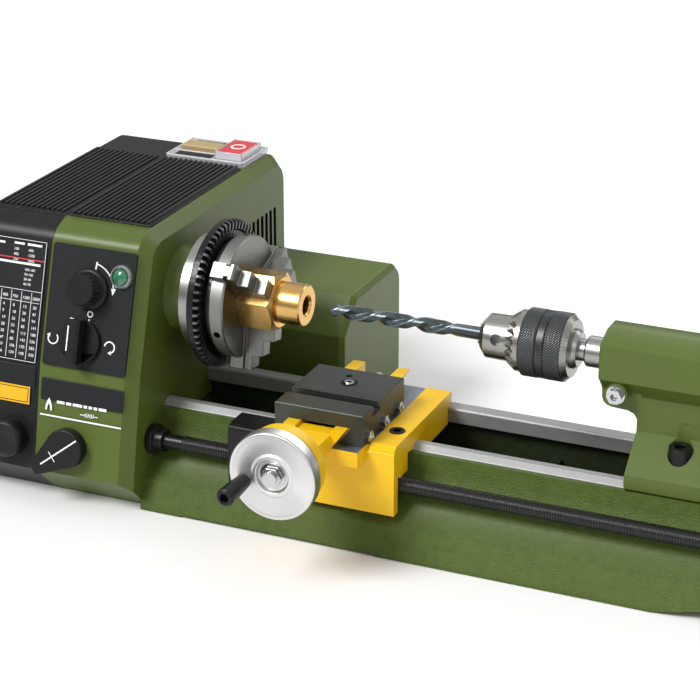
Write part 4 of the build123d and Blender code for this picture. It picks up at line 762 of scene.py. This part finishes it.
def toothedRing():
    # Bevel teeth round the ring that turns the chuck's scroll
    low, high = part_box("scroll_ring")
    back, front = low.x / mm, high.x / mm
    outer = (high.y - low.y) / 2 / mm
    sizes = {"teeth": 60, "inner": 31.0, "toothInner": 38.2}
    tooth = [(sizes["inner"], back), (outer - 1.0, back), (outer, back + 1.0), (outer, front - 2.6),
             (outer - 0.5, front - 0.9), (outer - 1.5, front), (sizes["toothInner"] + 1, front - 0.2),
             (sizes["toothInner"], front - 1.6), (sizes["inner"], front - 1.6)]
    gap = [(sizes["inner"], back), (outer - 1.0, back), (outer, back + 1.0), (outer - 0.1, front - 2.8),
           (outer - 1.3, front - 2.8), (outer - 2.4, front - 2.6), (sizes["toothInner"] + 1, front - 1.9),
           (sizes["toothInner"], front - 1.7), (sizes["inner"], front - 1.6)]
    bm = bmesh.new()
    rings = []
    for i in range(sizes["teeth"]):
        for share, shape in ((0.0, gap), (0.34, gap), (0.52, tooth), (0.82, tooth)):
            angle = 2 * math.pi * (i + share) / sizes["teeth"]
            rings.append(spinPoints(bm, shape, angle))
    for k, i, face in addLoop(bm, rings):
        onTooth = k % 4 == 2 and 3 <= i <= 6
        face.material_index = 1 if onTooth else 0
    ring = finishMesh("scrollRing", bm, "ringSteel", "scroll_ring", ("scroll_ring",), smooth=25.0)
    ring.data.materials.append(paint["toothSteel"])
    return ring


def leadscrewThread():
    # Pointed thread standing on the plain core of the lead screw
    thread = {"radius": 4.5, "root": 0.15, "ridge": 0.42, "pitch": 1.6, "segments": 28, "start": 11.5,
              "end": 1.0}
    origin = joints["leadscrew_turn"]["pos_m"]
    place = frameAt((0, origin[1], origin[2]), (1, 0, 0), (0, 1, 0))
    x0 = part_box("headstock_housing")[1].x / mm + thread["start"]
    x1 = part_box("leadscrew_bracket")[0].x / mm - thread["end"]
    pitch = thread["pitch"]
    root = thread["radius"] - thread["root"]
    top = thread["radius"] + thread["ridge"]
    # radius, distance along and brightness
    section = ((root, 0.0, 0.0), (top, pitch * 0.42, 1.0), (top, pitch * 0.56, 1.0),
               (root, pitch * 0.98, 0.0))
    bm = crestMesh()
    rows = []
    for k in range(int((x1 - x0) / pitch * thread["segments"]) + 1):
        angle = -2 * math.pi * k / thread["segments"]
        x = x0 + pitch * k / thread["segments"]
        ring = []
        for r, along, crest in section:
            point = spot(place, r * math.cos(angle), r * math.sin(angle), min(x + along, x1))
            ring.append(crestPoint(bm, point, crest))
        rows.append(ring)
    joinRows(bm, rows, False)
    return finishMesh("leadscrewThread", bm, "threadSteel", "leadscrew", smooth=50.0)


def drillRadius(angle, share, drill):
    # Radius of the drill's section at an angle; share is 1 in the flutes and 0 on the shank
    full = drill["radius"]
    phase = angle % math.pi
    if phase < drill["margin"]:
        return full
    land = full - drill["relief"] * share
    if phase < drill["land"]:
        return land
    bend = (phase - drill["land"]) / (math.pi - drill["land"])
    return land - (full - drill["web"] - 0.3) * math.sin(math.pi * bend) ** 0.7 * share


def twistDrill():
    # Two-flute drill: cross sections turned along the axis, ground to a point
    low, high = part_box("drill_bit")
    tip, end = low.x / mm, high.x / mm
    drill = {"radius": 4.5, "lead": 47.0, "flute": 70.0, "runOut": 14.0, "web": 1.5, "point": 1.66,
             "margin": 0.20, "land": 1.15, "relief": 0.28, "count": 72, "shankTurn": 10.5}
    pointSteps = [0.02, 0.5, 1.0, 1.5, 2.0, 2.4, 2.8]
    bm = crestMesh()
    rows = []
    for s in pointSteps + [pointSteps[-1] + i for i in range(1, 78)]:
        if s > end - tip:
            break
        share = min(1.0, max(0.0, (drill["flute"] + drill["runOut"] - s) / drill["runOut"]))
        twist = -2 * math.pi * s / drill["lead"]
        ring = []
        for i in range(drill["count"]):
            angle = 2 * math.pi * i / drill["count"]
            r = min(drillRadius(angle, share, drill), s * drill["point"] + 0.02)
            crest = 1.0 if angle % math.pi < drill["margin"] else 0.15
            point = spot(spindleFrame, r * math.cos(angle + twist), r * math.sin(angle + twist), tip + s)
            ring.append(crestPoint(bm, point, crest * min(1.0, share + 0.3)))
        rows.append(ring)
    angles = [2 * math.pi * i / drill["count"] - drill["shankTurn"] for i in range(drill["count"])]
    full = drill["radius"]
    rows.append([bm.verts.new(spot(spindleFrame, full * math.cos(a), full * math.sin(a), end))
                 for a in angles])
    joinRows(bm, rows)
    bm.faces.new(rows[0])
    return finishMesh("twistDrill", bm, "drill", "quill", ("drill_bit",), smooth=38.0)


def knurledSleeve():
    # Sleeve with two bands of slanting lines, a plain band between them and a bright back edge
    low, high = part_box("chuck_sleeve")
    x0, x1 = low.x / mm, high.x / mm
    outer = (high.y - low.y) / 2 / mm
    knurl = {"lines": 74, "slant": 1.05, "height": 0.34, "bandHalf": 2.6, "front": 4.2, "back": 3.6,
             "step": 0.45, "groove": 0.35, "bandCrest": 0.24, "bore": 13.6}
    around = knurl["lines"] * 6
    start = x0 + knurl["front"]
    stop = x1 - knurl["back"]
    middle = (start + stop) / 2
    along = int((stop - start) / knurl["step"])
    bm = crestMesh()
    rows = []

    def plainRow(r, x):
        rows.append([bm.verts.new(spot(spindleFrame, a, b, x)) for a, b in circlePoints(0, 0, r, around)])

    def knurlAt(angle, x):
        # radius and brightness of one point
        aside = abs(x - middle)
        if abs(aside - knurl["bandHalf"]) < knurl["groove"]:
            return outer - 0.5, 0.0
        if aside < knurl["bandHalf"]:
            return outer - 0.15, knurl["bandCrest"]
        turns = knurl["lines"] * (angle + knurl["slant"] * (x - start) / outer)
        wave = 0.5 + 0.5 * math.sin(turns)
        return outer - knurl["height"] * (1 - min(1.0, wave * 1.5)), max(0.0, wave * 2.0 - 1.0)

    plainRow(knurl["bore"], start - 0.9)
    plainRow(outer - 1.6, start - 0.9)
    plainRow(outer - 0.6, start - 0.3)
    for k in range(along + 1):
        x = start + (stop - start) * k / along
        ring = []
        for i in range(around):
            angle = 2 * math.pi * i / around
            r, crest = knurlAt(angle, x)
            point = spot(spindleFrame, r * math.cos(angle), r * math.sin(angle), x)
            ring.append(crestPoint(bm, point, crest))
        rows.append(ring)
    plainRow(outer - 0.5, stop + 0.4)
    plainRow(outer - 3.2, x1)
    plainRow(9.0, x1 - 0.2)
    joinRows(bm, rows)
    for face in bm.faces:
        face.material_index = 1 if face.calc_center_median().x / mm > stop + 0.5 else 0
    sleeve = finishMesh("chuckSleeve", bm, "knurled", "chuck_sleeve", ("chuck_sleeve",),
                        smooth=40.0)
    sleeve.data.materials.append(paint["steelPlain"])
    chuckTeeth(x0, start, outer)
    return sleeve


def chuckTeeth(x0, start, outer):
    # Crown of teeth for the chuck key, in front of the sleeve
    crown = {"teeth": 22, "inner": 13.6, "mid": 14.8, "outer": outer - 1.9, "tip": x0 - 5.0, "root": x0 - 1.4}
    bm = bmesh.new()
    rings = []
    for i in range(crown["teeth"]):
        for share, rise in ((0.0, 0.0), (0.18, 0.0), (0.48, 1.0), (0.70, 1.0)):
            edge = crown["root"] + (crown["tip"] - crown["root"]) * rise
            shoulder = crown["root"] + 2.2 - 1.2 * rise
            shape = [(crown["inner"], edge), (crown["mid"], edge), (crown["outer"], shoulder),
                     (crown["outer"], start - 0.8), (crown["inner"], start - 0.8)]
            rings.append(spinPoints(bm, shape, 2 * math.pi * (i + share) / crown["teeth"]))
    addLoop(bm, rings)
    return finishMesh("chuckTeeth", bm, "steelPlain", "chuck_sleeve", smooth=25.0)


toothedRing()
leadscrewThread()
twistDrill()
knurledSleeve()
print("turning parts made")


def machinedFaces(name, look, test):
    # Gives the faces that pass a test of (centre, normal) another material: a real machined finish, or a dark
    # painted shade inside the headstock and the bed
    obj = nodes[name]
    obj.data.materials.append(paint[look])
    for face in obj.data.polygons:
        if test(face.center / mm, face.normal):
            face.material_index = 1


headLow, headHigh = (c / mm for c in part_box("headstock_housing"))
headMiddle = (headLow + headHigh) / 2
ventSides = {"wall": 16.0, "low": 75.0, "high": 155.0, "front": 60.0}  # around the slots in the right wall


def insideHead(c, n):
    # Faces that look into the headstock, and the sides of its slots, which get a near-black painted shade
    inner = c.x < headHigh.x - ventSides["wall"] and n.dot(headMiddle - c) > 5.0 and c.z > 30.0
    inWall = headHigh.x - ventSides["wall"] < c.x < headHigh.x - 10.0 and abs(n.x) < 0.1
    beside = ventSides["front"] < c.y < headHigh.y - 3.0 and ventSides["low"] < c.z < ventSides["high"]
    return inner or (inWall and beside)


# the inside of the headstock and the sides of its slots get a near-black painted shade
machinedFaces("headstock_housing", "paintedHoleShade", insideHead)

bedInside = {"front": -27.6, "back": 40.0, "low": 4.0, "high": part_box("bed_ways")[0].z / mm + 1.0}


def insideBed(c, n):
    # Faces inside the bed that look forward, and its floor, which get a dark painted shade
    between = bedInside["front"] < c.y < bedInside["back"] and bedInside["low"] < c.z < bedInside["high"]
    return between and n.y < 0.5


# the inside of the bed gets a dark painted shade
machinedFaces("bed_casting", "paintedBedShade", insideBed)
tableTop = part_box("cross_slide")[0].z / mm - 0.05
machinedFaces("saddle", "machined", lambda c, n: n.z > 0.9 and abs(c.z - tableTop) < 0.12)


def lockScrew():
    # Bright socket screw; round it a near-black ring of painted shade stands for the counterbore, and a near-black
    # hexagon of painted shade stands for the socket
    low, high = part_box("slide_lock_screw")
    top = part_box("cross_slide")[1].z
    place = frameAt(((low.x + high.x) / 2, (low.y + high.y) / 2, top), (0, 0, 1), (1, 0, 0))
    screw = {"hole": 5.0, "head": 3.1, "socket": 1.5, "socketTop": 0.92}
    headShape = [(3.1, -0.2), (3.1, 0.5), (2.8, 0.9), (1.7, 0.9), (1.5, 0.7), (1.4, -0.1), (0.01, -0.1)]
    bm = bmesh.new()
    # near-black ring of painted shade where the counterbore is
    addRing(bm, place, 0, 0, screw["hole"], screw["head"], -0.2, 0.12, 0, 360, 48)
    finishMesh("counterbore", bm, "paintedHoleShade", "cross_slide", ("slide_lock_screw",))
    bm = bmesh.new()
    addTurned(bm, place, headShape, 48)
    finishMesh("lockScrewHead", bm, "chrome", "cross_slide")
    bm = bmesh.new()
    # near-black hexagon of painted shade for the socket
    addPrism(bm, place, circlePoints(0, 0, screw["socket"], 6, 30, 390), 0.0, screw["socketTop"])
    finishMesh("lockScrewSocket", bm, "paintedHoleShade", "cross_slide")


lockScrew()
print("carriage details made")


view = {"place": (0.5164, -1.1243, 0.6037), "right": (0.916908, 0.399099, 0.000139),
        "up": (-0.152325, 0.349636, 0.924420), "back": (0.368886, -0.847629, 0.381377),
        "sensor": 36.0, "lens": 115.45, "near": 0.05, "far": 20.0}
cameraData = bpy.data.cameras.new("camera")
camera = bpy.data.objects.new("camera", cameraData)
scene.collection.objects.link(camera)
turn = Matrix((view["right"], view["up"], view["back"])).transposed()
camera.matrix_world = Matrix.Translation(view["place"]) @ turn.to_4x4()
cameraData.sensor_width = view["sensor"]
cameraData.lens = view["lens"]
cameraData.clip_start = view["near"]
cameraData.clip_end = view["far"]
scene.camera = camera

floorHalf = 6.0
corners = [(-floorHalf, -floorHalf, 0), (floorHalf, -floorHalf, 0), (floorHalf, floorHalf, 0),
           (-floorHalf, floorHalf, 0)]
floorMesh = bpy.data.meshes.new("floor")
floorMesh.from_pydata(corners, [], [(0, 1, 2, 3)])
floor = bpy.data.objects.new("floor", floorMesh)
scene.collection.objects.link(floor)
floor.location.z = -0.0005
floorMesh.materials.append(material("floorPaper", (0.86, 0.86, 0.86), 0.9, tone=(2.0, 0.0), spec=0.1))


def areaLight(name, place, target, size, power):
    data = bpy.data.lights.new(name, "AREA")
    data.shape = "RECTANGLE"
    data.size, data.size_y = size
    data.energy = power
    obj = bpy.data.objects.new(name, data)
    scene.collection.objects.link(obj)
    obj.location = place
    obj.rotation_euler = (Vector(target) - Vector(place)).to_track_quat("-Z", "Y").to_euler()
    return obj


def sunLight(name, direction, power, spread):
    data = bpy.data.lights.new(name, "SUN")
    data.energy = power
    data.angle = math.radians(spread)
    obj = bpy.data.objects.new(name, data)
    scene.collection.objects.link(obj)
    obj.rotation_euler = Vector(direction).to_track_quat("Z", "Y").to_euler()
    return obj


lightSizes = {"sun": 2.7, "sunSpread": 22.0, "fill": 4.0, "back": 8.0, "top": 0.74, "side": 0.16}
sunLight("sunKey", (-0.40, -0.60, 0.70), lightSizes["sun"], lightSizes["sunSpread"])
lightTarget = (0.05, 0.0, 0.08)
areaLight("fillLight", (1.6, -0.9, 0.9), lightTarget, (0.8, 1.0), lightSizes["fill"])
areaLight("backLight", (0.4, 1.4, 1.3), lightTarget, (1.6, 0.8), lightSizes["back"])
world = bpy.data.worlds.new("world")
world.use_nodes = True
skyTree = world.node_tree
skyCoord = addNode(skyTree, "ShaderNodeTexCoord")
skySplit = addNode(skyTree, "ShaderNodeSeparateXYZ")
skyRamp = addNode(skyTree, "ShaderNodeValToRGB")
skyRamp.color_ramp.elements[0].position = 0.0
skyRamp.color_ramp.elements[0].color = (*[lightSizes["side"]] * 3, 1)
skyRamp.color_ramp.elements[1].position = 0.75
skyRamp.color_ramp.elements[1].color = (*[lightSizes["top"]] * 3, 1)
skyTree.links.new(skyCoord.outputs["Generated"], skySplit.inputs[0])
skyTree.links.new(skySplit.outputs["Z"], skyRamp.inputs[0])
skyTree.links.new(skyRamp.outputs["Color"], skyTree.nodes["Background"].inputs["Color"])
skyTree.nodes["Background"].inputs["Strength"].default_value = 1.0
scene.world = world
scene.view_settings.view_transform = "Standard"
print("camera, light and floor made")
